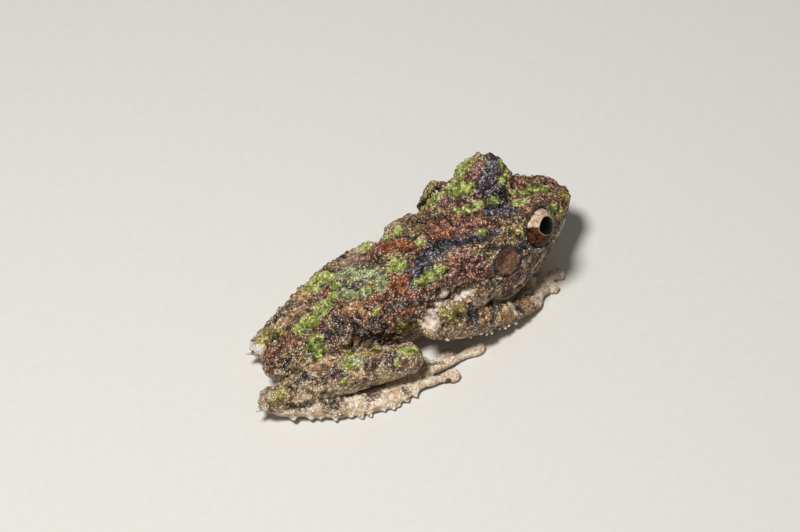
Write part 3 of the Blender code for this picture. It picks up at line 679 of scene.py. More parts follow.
# Markings, as strokes of (across, down, radius) in the photo's pixels, read off the photo
STROKES = {
    "green": [
        [(504, 161, 3.5), (506, 174, 3.5), (504, 182, 3.5), (510, 184, 3)],
        [(454, 188, 5), (466, 185, 5)], [(457, 209, 4), (469, 206, 4), (479, 202, 4), (493, 198, 4)],
        [(515, 191, 3.5), (528, 189, 4)], [(532, 186, 4), (545, 185, 4)],
        [(514, 199, 3.5), (520, 200, 4)], [(552, 211, 5), (558, 209, 5)], [(481, 229, 4.5)],
        [(421, 241, 4)], [(395, 259, 5), (400, 264, 5)], [(386, 269, 4)],
        [(420, 284, 5), (430, 275, 6), (439, 269, 5)], [(323, 300, 8), (312, 313, 8), (300, 325, 7)],
        [(334, 284, 5), (330, 293, 5)], [(367, 289, 5), (349, 296, 5)], [(318, 345, 9)],
        [(374, 312, 4)], [(414, 348, 5), (405, 347, 4)], [(397, 365, 3)], [(347, 383, 4)],
        [(350, 352, 4), (346, 363, 4)], [(382, 236, 5), (396, 228, 5)],
    ],
    "mint": [
        [(337, 274, 7), (355, 271, 8), (374, 275, 7), (379, 284, 6)], [(343, 292, 5), (363, 293, 5)],
        [(357, 359, 4)],
    ],
    "olive": [
        [(510, 231, 4.5), (519, 231, 4.5), (512, 237, 4.5)], [(465, 166, 3), (459, 174, 3)],
        [(564, 188, 4), (567, 193, 5)], [(537, 251, 5), (547, 248, 5), (553, 235, 4)],
        [(565, 207, 4), (564, 220, 3.5), (561, 235, 3.5), (554, 249, 3.5), (543, 262, 3.5)],
        [(553, 204, 4), (561, 213, 4)], [(444, 308, 6), (451, 312, 6), (462, 308, 6), (466, 312, 5)],
        [(400, 332, 5), (413, 328, 5)], [(288, 386, 6), (275, 397, 6)], [(264, 337, 7), (280, 331, 6)],
        [(451, 325, 4)], [(348, 347, 5), (352, 358, 6), (349, 368, 5)], [(364, 350, 4), (378, 347, 4)],
    ],
    "dark": [
        [(495, 159, 6), (494, 170, 7), (490, 180, 7)],
        [(484, 190, 7), (502, 189, 8), (499, 199, 8.5), (490, 208, 7), (508, 206, 7)], [(512, 207, 4)],
        [(417, 286, 4), (420, 270, 7), (426, 255, 7), (435, 248, 7),
         (449, 241, 6), (463, 239, 5), (479, 236, 4.5), (496, 230, 4.5)],
        [(337, 290, 3.5), (351, 285, 3.5), (365, 280, 3.5)], [(472, 311, 4.5), (476, 318, 4.5)],
    ],
    # Umber: dark marks; those on the near thigh by the groin are partly painted shade, between the body and
    # the folded leg
    "umber": [
        [(375, 364, 5), (368, 360, 5)], [(330, 371, 5), (341, 377, 5)], [(385, 357, 4), (392, 352, 4)],
        [(312, 378, 4), (322, 382, 4)], [(447, 286, 3.5), (434, 295, 4), (407, 305, 4), (390, 309, 4)],
        [(333, 320, 6), (342, 330, 7), (328, 335, 6)],
        [(378, 323, 6), (384, 330, 5), (363, 336, 6), (355, 323, 5)], [(521, 245, 4), (531, 251, 4)],
        [(303, 375, 4), (295, 383, 4)], [(290, 408, 3.5), (307, 407, 3.5)],
        [(331, 405, 5), (335, 400, 4)], [(368, 395, 4), (373, 390, 4), (378, 394, 4)],
        [(495, 307, 3), (496, 320, 3)], [(519, 304, 4), (523, 309, 4)],
    ],
    "rust": [
        [(558, 189, 4)], [(384, 246, 6), (395, 245, 6), (410, 243, 4)],
        [(420, 251, 5), (437, 235, 5), (449, 231, 5)], [(411, 269, 6), (405, 284, 7), (392, 287, 6)],
        [(415, 312, 3), (403, 311, 3)], [(361, 302, 5)],
    ],
    "rose": [
        [(367, 240, 4), (360, 247, 4), (354, 253, 4), (345, 261, 4)], [(364, 257, 5), (352, 261, 5)],
        [(475, 165, 7), (470, 175, 6)], [(302, 337, 4), (307, 330, 4), (317, 328, 4)],
        [(392, 348, 4), (379, 352, 4)], [(447, 281, 7), (461, 276, 7)], [(447, 199, 5), (443, 192, 5)],
        [(470, 265, 5), (485, 266, 5)],
    ],
    "tan": [
        [(325, 268, 4), (312, 284, 5), (300, 299, 6), (288, 312, 6), (275, 322, 6)],
        [(315, 363, 6), (327, 360, 6)], [(346, 312, 5), (358, 309, 5), (373, 316, 4)], [(360, 373, 4)],
        [(485, 312, 6), (486, 319, 6)], [(508, 309, 6), (506, 319, 6)], [(526, 298, 6), (546, 281, 5)],
        [(315, 388, 4)],
    ],
    "bare": [
        [(478, 303, 3.5), (490, 299, 3.5)], [(556, 270, 5), (560, 275, 5)], [(431, 319, 6)],
        [(430, 309, 3.5), (446, 298, 3.5), (472, 289, 3.5)],
    ],
    "pale": [
        [(347, 337, 5)], [(249, 347, 5), (259, 351, 4)], [(524, 266, 3), (530, 261, 3)],
        [(505, 279, 3)], [(298, 403, 3), (310, 400, 3)], [(342, 402, 5), (357, 402, 5)],
        [(387, 388, 5), (407, 383, 5), (430, 376, 5)],
    ],
    "white": [
        [(249, 345, 3), (256, 352, 3)], [(264, 411, 3)],
    ],
    # Creases: grooves cut into the skin, darkened as well with painted shade
    "crease": [
        [(432, 247, 2.2), (446, 243, 2.2), (462, 241, 2.2), (477, 237, 2.2), (494, 232, 2.2)],
        [(486, 252, 2), (492, 247, 2), (503, 243, 2)],
        [(345, 338, 2), (365, 341, 2), (385, 338, 2), (400, 338, 2)],
    ],
    "smooth": [
        [(429, 320, 8)], [(557, 272, 6)], [(430, 309, 3.5), (446, 298, 3.5), (472, 289, 3.5)],
    ],
}


def on_skin(strokes, points):
    """Strokes moved from the photo onto the skin, as (x, y, z, radius) in millimetres.

    A stroke's smooth curve is followed by points, three for each of its spans. Each goes to the
    point nearest the camera of those within CATCH pixels of it in the picture.
    """
    reach = camera_at - points
    depth = reach @ camera_back
    across = PHOTO_SIZE[0] / 2 - CAMERA_AWAY * PIXELS_PER_MM * (reach @ camera_right) / depth
    down = PHOTO_SIZE[1] / 2 + CAMERA_AWAY * PIXELS_PER_MM * (reach @ camera_up) / depth
    moved = []
    for stroke in strokes:
        rows = []
        stroke = stroke if len(stroke) > 1 else stroke * 2
        for x, y, radius in along(stroke, np.linspace(0, 1, 3 * len(stroke) - 2)):
            near = np.flatnonzero((across - x) ** 2 + (down - y) ** 2 < CATCH**2)
            if len(near):
                rows.append((*points[near[depth[near].argmin()]], STROKE_SPREAD * radius / PIXELS_PER_MM))
        if rows:
            moved.append(rows)
    return moved


# Relief of the skin. Lumps: size and height. Folds: size, seed and depth. Warts: spacing, points
# tried, range of radii and range of heights as shares of the radius. Lips and rims: height,
# distance from the mouth line or the hole's middle, and half width.
TRUNK_LUMPS = (3.4, 0.13)
COARSE_LUMPS = (1.5, 0.08)
FINE_LUMPS = (0.85, 0.075)
ROUGHNESS_LUMPS = (0.5, 0.025)
FOLDS = ((3.2, 8, 0.13), (1.9, 9, 0.09))
BIG_WARTS = {"apart": 1.15, "tries": 9000, "radius": (0.42, 0.72), "height": (0.3, 0.6)}
SMALL_WARTS = {"apart": 0.42, "tries": 30000, "radius": (0.2, 0.34), "height": (0.2, 0.5)}
LIPS = ((0.1, 0.42, 0.3), (-0.24, 0.0, 0.15), (0.05, -0.35, 0.22))
EAR_RIM = (0.12, 0.2, 0.17)
DRUM_DEPTH = 0.13
NOSTRIL_RIM = (0.1, 0.5, 0.18)
NOSTRIL_HOLE = (0.45, 0.18)
NOSTRIL_DEPTH = 0.34
CREASE_DEPTH = 0.16


def worked(verts, faces):
    """The skin with its relief: lumps, creases, warts, lips, nostrils and ear drums.

    Each vertex moves along its normal by the sum of their heights there.
    """
    normals = normals_of(verts, faces)
    at = straight(verts)
    behind = SNOUT_VENT / 2 - at[:, 0]

    # Where each kind of relief lies: off the belly and the floor, on the trunk, on the head
    above = ramp(normals[:, 2], -0.35, 0.25) * ramp(verts[:, 2], 0.7, 1.6)
    outside = np.abs(at[:, 1]) - through(SIDE_Y, behind.clip(0, SNOUT_VENT))
    trunk = ramp(outside, 0.9, 0.2) * ramp(verts[:, 2], 2.6, 3.6)
    head = ramp(behind, 15.5, 12.5) * trunk
    lid_rim = ramp(eye_reach(verts), EYE_RADIUS + 0.28, EYE_RADIUS + 0.1)
    ears = ear_reach(verts)
    drum = ramp(ears, EAR_RADIUS + 0.1, EAR_RADIUS - 0.15)

    def lumps(size_height, seed):
        return size_height[1] * ripples(verts, size_height[0], seed)

    rise = lumps(TRUNK_LUMPS, 1) * trunk * (1 - 0.6 * head)
    rise += above * (lumps(COARSE_LUMPS, 2) + lumps(FINE_LUMPS, 3))
    rise += lumps(ROUGHNESS_LUMPS, 4)
    for size, seed, deep in FOLDS:
        rise -= deep * above * (0.4 + 0.6 * trunk) * bell(ripples(verts, size, seed), 0, 0.16)

    # Big warts mostly on the trunk, small ones all over, both fading out at drums and lids
    draw = np.random.default_rng(5)
    big = scattered(verts, BIG_WARTS["apart"], 6, BIG_WARTS["tries"])
    big = big[(above[big] > 0.5) & (draw.random(len(big)) < 0.25 + 0.6 * trunk[big] * (1 - head[big]))]
    radii = draw.uniform(*BIG_WARTS["radius"], len(big)) * (1 - 0.3 * head[big]) * (0.7 + 0.3 * trunk[big])
    warty = warts_on(verts, verts[big], radii, radii * draw.uniform(*BIG_WARTS["height"], len(big)))
    small = scattered(verts, SMALL_WARTS["apart"], 7, SMALL_WARTS["tries"])
    radii = draw.uniform(*SMALL_WARTS["radius"], len(small))
    heights = radii * draw.uniform(*SMALL_WARTS["height"], len(small))
    warty = np.maximum(warty, warts_on(verts, verts[small], radii, heights))
    calm = (1 - 0.85 * drum) * (1 - 0.8 * lid_rim) * (0.45 + 0.55 * above)
    rise = rise * calm + warty * calm

    # Rims and hollows of the ears, the mouth and the nostrils, then the drawn creases
    high, place, wide = EAR_RIM
    rise += high * bell(ears, EAR_RADIUS + place, wide) - DRUM_DEPTH * drum
    gap, along_mouth = mouth_gap(verts)
    front = along_mouth * ramp(normals[:, 2], 0.75, 0.5) * ramp(ears, EAR_RADIUS, EAR_RADIUS + 0.4)
    rise += front * sum(high * bell(gap, place, wide) for high, place, wide in LIPS)
    high, place, wide = NOSTRIL_RIM
    for _, side in SIDES:
        away = np.linalg.norm(verts - on_head(NOSTRIL_AT, side), axis=1)
        rise += high * bell(away, place, wide) - NOSTRIL_DEPTH * ramp(away, *NOSTRIL_HOLE)
    rise -= CREASE_DEPTH * nearness(verts, on_skin(STROKES["crease"], verts)) ** 2
    verts = verts + normals * rise[:, None]
    verts[:, 2] = np.maximum(verts[:, 2], 0.0)
    return verts


def thinned(verts, faces, triangles):
    """The mesh with its least telling edges collapsed, down to a number of triangles."""
    if len(faces) <= triangles:
        return verts, faces
    item = mesh_object("thinned", verts, faces)
    change = item.modifiers.new("decimate", "DECIMATE")
    change.ratio = triangles / len(faces)
    return arrays_of(applied(item))


limb_forms, white_tips = limbs()
verts, faces = cast([head_and_trunk(), *limb_forms], SKIN_GRAIN)
verts = eased(verts, faces, EASING_ROUNDS)
verts = worked(verts, faces)
verts, faces = thinned(verts, faces, SKIN_TRIANGLES)
verts[:, 2] = verts[:, 2].clip(0)
skin = mesh_object("skin", verts * MM, faces)
skin.data.shade_smooth()


# Markings that follow the body, or that the photo hides: the size of the patches and mottles,
# of the bars on the lip, and where the far side begins and is in full
PATCH = 5.0
MOTTLE = 1.9
LIP_BAR = 1.5
FAR_SIDE = (3.0, 4.6)
# Painted shade in hollows: rounds of easing that find them, and the depth of a full one
HOLLOWS = ((10, 0.12), (40, 0.3))


def pigments(points, normals):
    """The share of each pigment at the skin's points, by name, from the strokes and the body parts,
    with the shares of smooth skin and of painted shade along creases.
    """
    drawn = {name: nearness(points, on_skin(strokes, points)) for name, strokes in STROKES.items()}
    at = straight(points)
    far_side = ramp(at[:, 1], *FAR_SIDE) * ramp(points[:, 2], 0.8, 1.6)

    # Arms and legs, and their paler ends, as strokes through the joints
    arms, legs, ends = [], [], []
    for word, side in SIDES:
        arm, leg = joints(word, side)
        arms.append([(*arm["shoulder"], 1.8), (*arm["elbow"], 2.1), (*arm["wrist"], 1.7)])
        legs.append([(*leg["knee"], 2.2), (*leg["shin"], 2.4), (*leg["calf"], 2.9), (*leg["heel"], 2.2)])
        ends.append([(*leg["heel"] - (0, -0.5 * side, 1.2), 1.3), (*leg["ankle"], 1.7), (*leg["sole"], 2.0)])
        ends += [[(*leg["sole"], 1.3), (*tip, 1.5)] for tip in leg["tips"]]
        ends += [[(*arm["palm"], 1.3), (*tip, 1.5)] for tip in arm["tips"]]
    limb = np.maximum(nearness(points, arms), nearness(points, legs))
    end = nearness(points, ends)

    # Far patches, limb mottles, the lips with their bars, the chin, the lids and the ears
    patches = ripples(points, PATCH, 11)
    mottles = ripples(points, MOTTLE, 13)
    gap, along_mouth = mouth_gap(points)
    lip = along_mouth * bell(gap, 0.35, 0.4) * ramp(normals[:, 2], 0.8, 0.5)
    lip_bars = ramp(ripples(points, LIP_BAR, 12), 0.15, 0.5)
    chin = along_mouth * ramp(gap, -0.4, -1.4) * ramp(points[:, 2], 1.9, 2.5)
    ears = ear_reach(points)
    lid_edge = ramp(eye_reach(points), EYE_RADIUS + 0.42, EYE_RADIUS + 0.2)
    lower_lid = ramp(points[:, 2], EYE_AT[2] - 0.5, EYE_AT[2] - 1.0)
    drum = ramp(ears, EAR_RADIUS + 0.02, EAR_RADIUS - 0.12)
    ear_ring = bell(ears, EAR_RADIUS + 0.12, 0.16)
    parts = {
        # The ring round each ear drum is dark pigment and also gets painted shade, along with the drawn
        # creases
        "crease": ear_ring,
        "green": 0.75 * far_side * ramp(patches, 0.25, 0.9),
        "dark": np.maximum.reduce([lip * lip_bars, 0.9 * lid_edge, 0.9 * ear_ring]),
        "umber": np.maximum(0.8 * far_side * ramp(-patches, 0.5, 1.1),
                            0.75 * np.maximum(limb, end) * ramp(mottles, 0.45, 1.1)
                            * (1 - drawn["tan"])),
        "tan": 0.75 * np.maximum(limb, end) * ramp(-mottles, 0.6, 1.2),
        "limb": limb,
        "pale": np.maximum(end, lip * (1 - lip_bars)),
        "belly": ramp(normals[:, 2], -0.25, -0.75) + chin,
        # The pale lower lid margin is partly a painted highlight along its wet edge
        "white": np.maximum(nearness(points, white_tips), 0.5 * lid_edge * lower_lid),
        "drum": drum,
        "smooth": np.maximum.reduce([0.6 * drum, 0.32 * limb, 0.45 * end]),
    }
    return {name: np.maximum(drawn.get(name, 0), parts.get(name, 0)).clip(0, 1)
            for name in sorted({*drawn, *parts})}


normals = normals_of(verts, faces)
shares = pigments(verts, normals)
# Painted shade: how far each point lies below the eased skin, less on the ear drums, with the drawn creases
# and the drums' rims
depths = [-((verts - eased(verts, faces, rounds)) * normals).sum(1) / full for rounds, full in HOLLOWS]
hollow = sum(np.clip(depth, 0, 0.6) for depth in depths) * (1 - 0.8 * shares["drum"])
shares["hollow"] = np.maximum(hollow, ramp(shares.pop("crease"), 0.3, 0.7))
for name, values in shares.items():
    skin.data.attributes.new(name, "FLOAT", "POINT").data.foreach_set("value", values.astype(np.float32))


def srgb(text):
    """A linear colour from an sRGB hex string."""
    parts = [int(text[k:k + 2], 16) / 255 for k in (0, 2, 4)]
    return (*[p / 12.92 if p <= 0.04045 else ((p + 0.055) / 1.055) ** 2.4 for p in parts], 1)


def add_node(tree, kind, inputs=(), output=0, **settings):
    """One output of a new node, whose inputs are set to values or linked to other outputs."""
    made = tree.nodes.new("ShaderNode" + kind)
    for name, value in settings.items():
        setattr(made, name, value)
    for slot, source in dict(inputs).items():
        if isinstance(source, bpy.types.NodeSocket):
            tree.links.new(source, made.inputs[slot])
        else:
            made.inputs[slot].default_value = source
    return made.outputs[output]



def new_finish(name):
    """A new material, its node tree and its shader."""
    made = bpy.data.materials.new(name)
    made.use_nodes = True
    return made, made.node_tree, made.node_tree.nodes["Principled BSDF"]


# Moist granular skin, as it grew on the frog: each granule is a small dome with its own shade,
# painted shade in the seams and a pale tip that is partly a painted glint, and a film of water
# makes it glint. The finest granules and flecks in life wouldn't show in a picture of the whole
# frog, so they are drawn coarser.
GRANULE = 0.22
PUSTULE = 0.7
FLECK = 0.19
GRANULE_RELIEF = 0.095
SWAY = 0.2
SWAYS_PER_MM = 2.4
BLOTCHES_PER_MM = 0.9
PATCHES_PER_MM = 0.26
EDGES_PER_MM = 1.3
GROUND = (("38200a", "421507"), ("e4c48c", "f0ac84"))
# Dark specks, and pale flecks and pale granule tips that are partly painted glints
SPECK, PALE_FLECK_AND_GLINT, PALE_TIP_AND_GLINT = "38281c", "fff0e4", "e6d3c2"
# Name, dark shade, light shade and raggedness of the edge, from the lowest layer to the top one
PIGMENTS = [("rose", "4c2018", "f0bca6", 1.0), ("limb", "664824", "ffe9c6", 0.5),
            ("rust", "622608", "f0a468", 1.0), ("olive", "5a4c06", "e8da80", 1.0),
            ("tan", "865c30", "ffe6bc", 0.8), ("pale", "b89a74", "fff6e6", 0.5),
            ("belly", "b5a68a", "f6ecd8", 0.6), ("umber", "140602", "c0a084", 0.9),
            ("dark", "080506", "aaa2ae", 0.9), ("green", "6a7806", "fffdac", 0.8),
            ("mint", "68703c", "f4f6ca", 1.1), ("drum", "3c1e10", "a87454", 0.2),
            ("bare", "947c68", "e8d4c6", 0.6), ("white", "d0c8bc", "ffffff", 0.2)]
# A Map Range that starts and ends softly
STEP = {"interpolation_type": "SMOOTHSTEP"}
# A Mix of two colours takes its share in slot 0 and the colours in slots 6 and 7
PAINT = {"output": 2, "data_type": "RGBA"}

granular_skin, tree, shader = new_finish("granular_skin")
place = add_node(tree, "TexCoord", output="Object")
sway = add_node(tree, "TexNoise", {"Vector": place, "Scale": SWAYS_PER_MM / MM, "Detail": 2.0}, "Color")
swayed = add_node(tree, "VectorMath", {0: sway, 1: (SWAY * MM,) * 3, 2: place}, operation="MULTIPLY_ADD")
grain, lump, fleck = (add_node(tree, "TexVoronoi", {"Vector": swayed, "Scale": 1 / (size * MM)})
                      for size in (GRANULE, PUSTULE, FLECK))
cell, fleck_cell = (add_node(tree, "SeparateColor", {"Color": cells.node.outputs["Color"]}).node.outputs
                    for cells in (grain, fleck))
blotch, broad, edges = (
    add_node(tree, "TexNoise", {"Vector": place, "Scale": per_mm / MM, "Detail": detail, "Roughness": rough})
    for per_mm, detail, rough in ((BLOTCHES_PER_MM, 4.0, 0.6), (PATCHES_PER_MM, 3.0, 0.5),
                                  (EDGES_PER_MM, 5.0, 0.65)))
dome = add_node(tree, "MapRange", {"Value": grain, "From Min": 0.6, "From Max": 0.1}, **STEP)
pustule = add_node(tree, "MapRange", {"Value": lump, "From Min": 0.75, "From Max": 0.15}, **STEP)

# The tone of each granule, from dark to light, less lively where the skin is smooth, and darker
# in the seams between granules as painted shade
smooth = add_node(tree, "Attribute", output="Fac", attribute_name="smooth")
calm = add_node(tree, "MapRange", {"Value": smooth, "From Min": 0.2, "From Max": 0.8,
                                   "To Min": 0.75, "To Max": 0.1})
even = add_node(tree, "MapRange", {"Value": calm, "From Max": 0.75, "To Min": 0.5, "To Max": 0.0})
seam_shade = add_node(tree, "MapRange", {"Value": calm, "From Max": 0.75, "To Min": 0.95, "To Max": 0.13})
lit = add_node(tree, "MapRange", {"Value": dome, "To Min": seam_shade})
lively = -0.45
for part, weight in ((cell[0], 0.6), (blotch, 1.9), (pustule, 0.15)):
    lively = add_node(tree, "Math", {0: part, 1: weight, 2: lively}, operation="MULTIPLY_ADD")
tone = add_node(tree, "MapRange", {"Value": lively, "From Min": 0.55, "From Max": 1.06,
                                   "To Min": even}, **STEP)
tone = add_node(tree, "Math", {0: tone, 1: lit}, operation="MULTIPLY")

# The ground colour, and over it each pigment where its own attribute says
ragged = -1.0
for part, weight in ((cell[1], 0.8), (edges, 1.2)):
    ragged = add_node(tree, "Math", {0: part, 1: weight, 2: ragged}, operation="MULTIPLY_ADD")
ragged = add_node(tree, "Math", {0: ragged, 1: 0.34}, operation="MINIMUM")
warm = add_node(tree, "MapRange", {"Value": broad, "From Min": 0.42, "From Max": 0.58}, **STEP)
low, high = (add_node(tree, "Mix", {0: warm, 6: srgb(plain), 7: srgb(reddish)}, **PAINT)
             for plain, reddish in GROUND)
colour = add_node(tree, "Mix", {0: tone, 6: low, 7: high}, **PAINT)
for name, low, high, edge in PIGMENTS:
    pigment = add_node(tree, "Mix", {0: tone, 6: srgb(low), 7: srgb(high)}, **PAINT)
    share = add_node(tree, "Attribute", output="Fac", attribute_name=name)
    share = add_node(tree, "Math", {0: ragged, 1: edge, 2: share}, operation="MULTIPLY_ADD")
    share = add_node(tree, "MapRange", {"Value": share, "From Min": 0.38, "From Max": 0.62}, **STEP)
    colour = add_node(tree, "Mix", {0: share, 6: colour, 7: pigment}, **PAINT)

# Dark specks on smooth skin, and on the rest pale flecks and pale granule tips, both partly
# painted glints
thin = add_node(tree, "MapRange", {"Value": smooth, "From Min": 0.2, "From Max": 0.35, "To Max": 0.9})
spot = add_node(tree, "MapRange", {"Value": fleck, "From Min": 0.45, "From Max": 0.15}, **STEP)
for start, end, limit, shade in ((0.4, 0.26, thin, SPECK), (0.72, 0.82, calm, PALE_FLECK_AND_GLINT)):
    share = add_node(tree, "MapRange", {"Value": fleck_cell[0], "From Min": start, "From Max": end}, **STEP)
    for factor in (spot, limit):
        share = add_node(tree, "Math", {0: share, 1: factor}, operation="MULTIPLY")
    colour = add_node(tree, "Mix", {0: share, 6: colour, 7: srgb(shade)}, **PAINT)
tip = add_node(tree, "Math", {0: dome, 1: cell[2]}, operation="MULTIPLY")
tip = add_node(tree, "MapRange", {"Value": tip, "From Min": 0.68, "From Max": 0.95, "To Max": calm}, **STEP)
colour = add_node(tree, "Mix", {0: tip, 6: colour, 7: srgb(PALE_TIP_AND_GLINT)}, **PAINT)
# Painted shade in the skin's hollows and along the drawn creases: the colour darkened down to a quarter
hollow = add_node(tree, "Attribute", output="Fac", attribute_name="hollow")
shade = add_node(tree, "MapRange", {"Value": hollow, "From Min": 0.05, "From Max": 0.8,
                                    "To Min": 1.0, "To Max": 0.25})
colour = add_node(tree, "Mix", {0: 1.0, 6: colour, 7: shade}, blend_type="MULTIPLY", **PAINT)
tree.links.new(colour, shader.inputs["Base Color"])

# Granules and pustules as relief, glossier on their tops, under a thin film of water
height = add_node(tree, "Math", {0: pustule, 1: 1.2, 2: dome}, operation="MULTIPLY_ADD")
height = add_node(tree, "Math", {0: height, 1: calm}, operation="MULTIPLY")
bump = add_node(tree, "Bump", {"Strength": 1.0, "Distance": GRANULE_RELIEF * MM, "Height": height})
tree.links.new(bump, shader.inputs["Normal"])
rough = add_node(tree, "MapRange", {"Value": dome, "To Min": 0.68, "To Max": 0.26})
tree.links.new(rough, shader.inputs["Roughness"])
for socket, number in (("IOR", 1.4), ("Coat Weight", 0.2), ("Coat Roughness", 0.14)):
    shader.inputs[socket].default_value = number

skin.data.materials.append(granular_skin)
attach(skin, "root")
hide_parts(*[name for name in frame["nodes"] if not name.startswith("eye_")])

# Eyes. Moist globes set in the skin's sockets, each a clear cornea over a beige and copper iris
# with a level, oval black pupil. The iris is beige above the pupil and dark copper below it,
# with fine fibres and a pale rim at the pupil, and the wet cornea gives it a sharp glint.
FIBRES_PER_MM = 2.6
VEINS_PER_MM = 0.9
GLOBE_SIDES = 128
GLOBE_RINGS = 90
PUPIL = (0.52, 0.42)
PUPIL_ROUND = 0.81
PUPIL_CORNERS = 0.17
BEIGE = ("94785c", "d9c2a6")
COPPER = ("1e0f08", "633a26")
PUPIL_RIM, LIMBUS, BACK_OF_EYE, BLACK = "d9c7a8", "2a1c14", "33261c", "060505"

eye_finish, tree, shader = new_finish("wet_iris")
gaze_place = add_node(tree, "Attribute", output="Vector", attribute_name="gaze_place")
place = add_node(tree, "TexCoord", output="Object")
across, above, ahead = list(add_node(tree, "SeparateXYZ", {"Vector": gaze_place}).node.outputs)
fibres = add_node(tree, "TexNoise", {"Vector": place, "Scale": FIBRES_PER_MM / MM, "Detail": 4.0,
                                     "Roughness": 0.7})
veins = add_node(tree, "TexNoise", {"Vector": place, "Scale": VEINS_PER_MM / MM, "Detail": 3.0})

# How far out a point lies, as a share of the pupil: mostly as an oval, a little as a rhombus
squeezed = add_node(tree, "VectorMath", {0: gaze_place, 1: (1 / PUPIL[0], 1 / PUPIL[1], 0.0)},
                    operation="MULTIPLY")
round_part = add_node(tree, "VectorMath", {0: squeezed}, "Value", operation="LENGTH")
cornered = add_node(tree, "VectorMath", {0: squeezed}, operation="ABSOLUTE")
cornered = add_node(tree, "VectorMath", {0: cornered, 1: (PUPIL_CORNERS, PUPIL_CORNERS, 0.0)}, "Value",
                    operation="DOT_PRODUCT")
oval = add_node(tree, "Math", {0: round_part, 1: PUPIL_ROUND, 2: cornered}, operation="MULTIPLY_ADD")
behind = add_node(tree, "MapRange", {"Value": ahead, "From Min": 0.1, "From Max": -0.1, "To Max": 3.0})
oval = add_node(tree, "Math", {0: oval, 1: behind}, operation="ADD")
flat = add_node(tree, "VectorMath", {0: gaze_place, 1: (1.0, 1.0, 0.0)}, operation="MULTIPLY")
disc = add_node(tree, "VectorMath", {0: flat}, "Value", operation="LENGTH")

# Beige above a wavy, slanting line and copper below it, then rim, limbus, back and pupil
line = add_node(tree, "Math", {0: across, 1: 0.45, 2: above}, operation="MULTIPLY_ADD")
line = add_node(tree, "Math", {0: veins, 1: 0.35, 2: line}, operation="MULTIPLY_ADD")
threads = add_node(tree, "MapRange", {"Value": fibres, "From Min": 0.38, "From Max": 0.62}, **STEP)
beige, copper = (add_node(tree, "Mix", {0: threads, 6: srgb(dark), 7: srgb(light)}, **PAINT)
                 for dark, light in (BEIGE, COPPER))
upper = add_node(tree, "MapRange", {"Value": line, "From Min": 0.095, "From Max": 0.215}, **STEP)
iris = add_node(tree, "Mix", {0: upper, 6: copper, 7: beige}, **PAINT)
layers = [(oval, 1.1, 1.03, 0.4, PUPIL_RIM), (disc, 0.9, 0.99, 1.0, LIMBUS),
          (ahead, 0.12, -0.02, 1.0, BACK_OF_EYE), (oval, 1.03, 0.97, 1.0, BLACK)]
for value, start, end, share, shade in layers:
    part = add_node(tree, "MapRange", {"Value": value, "From Min": start, "From Max": end,
                                       "To Max": share}, **STEP)
    iris = add_node(tree, "Mix", {0: part, 6: iris, 7: srgb(shade)}, **PAINT)
tree.links.new(iris, shader.inputs["Base Color"])
for socket, number in (("Roughness", 0.35), ("IOR", 1.38), ("Specular IOR Level", 0.05),
                       ("Coat Weight", 0.15), ("Coat Roughness", 0.03), ("Coat IOR", 1.33)):
    shader.inputs[socket].default_value = number

for word, side in SIDES:
    centre = on_head(EYE_AT, side)
    globe, globe_faces = ball(centre, (EYE_RADIUS,) * 3, GLOBE_SIDES, GLOBE_RINGS)
    own = np.stack([(globe - centre) @ axis for axis in eye_frame(side)], -1)[:, [1, 2, 0]] / EYE_RADIUS
    eye = mesh_object("eyeball_" + word, globe * MM, globe_faces)
    eye.data.attributes.new("gaze_place", "FLOAT_VECTOR", "POINT").data.foreach_set(
        "vector", own.astype(np.float32).ravel())
    eye.data.shade_smooth()
    eye.data.materials.append(eye_finish)
    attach(eye, "root")
    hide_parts("eye_" + word)

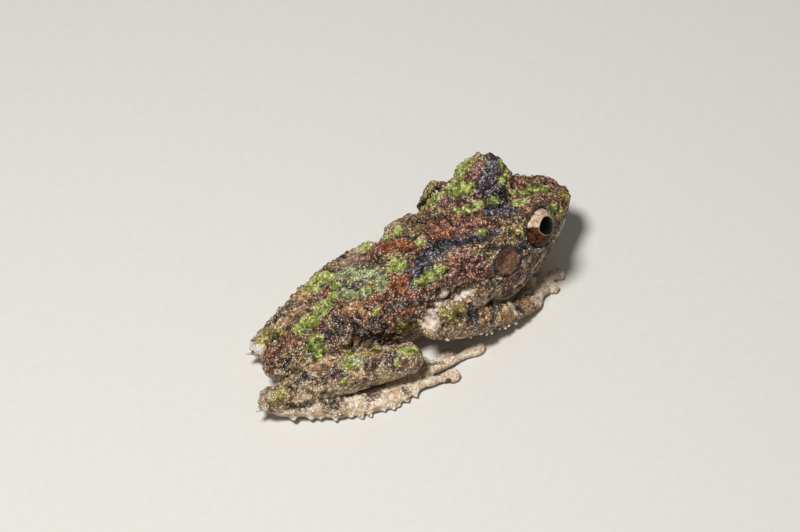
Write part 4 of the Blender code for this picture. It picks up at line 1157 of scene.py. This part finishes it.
# Floor, light and camera. A sheet of pale studio paper, one soft round lamp high over the
# frog's rump with even light from all around, and the camera of the photo's frame. The paper is
# uncoated and a little cloudy, so it shows the frog's shadow and no glint.
FLOOR_HALF = 0.5
PULP = 0.8
PAPER = ("cbc8c1", "d3d0ca")
SENSOR = 36.0
LAMP_SIZE = 0.07
LAMP_AWAY = 0.3
LAMP_FROM = (-0.3, -0.12, 0.93)
LAMP_POWER = 1.02
AROUND = 0.15

floor = mesh_object("floor", FLOOR_HALF * np.array([(-1, -1, 0), (1, -1, 0), (1, 1, 0), (-1, 1, 0)]),
                    np.array([(0, 1, 2, 3)]))
paper, tree, shader = new_finish("studio_paper")
place = add_node(tree, "TexCoord", output="Object")
pulp = add_node(tree, "TexNoise", {"Vector": place, "Scale": 1 / (PULP * MM), "Detail": 4.0})
sheet = add_node(tree, "Mix", {0: pulp, 6: srgb(PAPER[0]), 7: srgb(PAPER[1])}, **PAINT)
tree.links.new(sheet, shader.inputs["Base Color"])
shader.inputs["Roughness"].default_value = 0.85
floor.data.materials.append(paper)


def stand(item, right, up, back, at):
    """An object put in the scene, with its own X, Y and Z along the three directions."""
    item.matrix_world = Matrix([(*row, place) for row, place in zip(np.column_stack([right, up, back]), at)]
                               + [(0, 0, 0, 1)])
    bpy.context.scene.collection.objects.link(item)


camera_data = bpy.data.cameras.new("camera")
camera_data.sensor_width = SENSOR
camera_data.lens = SENSOR * CAMERA_AWAY / (PHOTO_SIZE[0] / PIXELS_PER_MM)
camera_data.clip_start = 0.01
camera = bpy.data.objects.new("camera", camera_data)
stand(camera, camera_right, camera_up, camera_back, camera_at * MM)
bpy.context.scene.camera = camera

lamp_data = bpy.data.lights.new("key", "AREA")
lamp_data.shape = "DISK"
lamp_data.size = LAMP_SIZE
lamp_data.energy = LAMP_POWER
lamp_back = np.array(LAMP_FROM) / np.linalg.norm(LAMP_FROM)
lamp_right = np.cross((0, 1, 0), lamp_back)
lamp_right /= np.linalg.norm(lamp_right)
stand(bpy.data.objects.new("key", lamp_data), lamp_right, np.cross(lamp_back, lamp_right), lamp_back,
      lamp_back * LAMP_AWAY)

bpy.context.scene.view_settings.view_transform = "Standard"
world = bpy.data.worlds.new("studio")
bpy.context.scene.world = world
world.use_nodes = True
world.node_tree.nodes["Background"].inputs["Color"].default_value = (1, 1, 1, 1)
world.node_tree.nodes["Background"].inputs["Strength"].default_value = AROUND
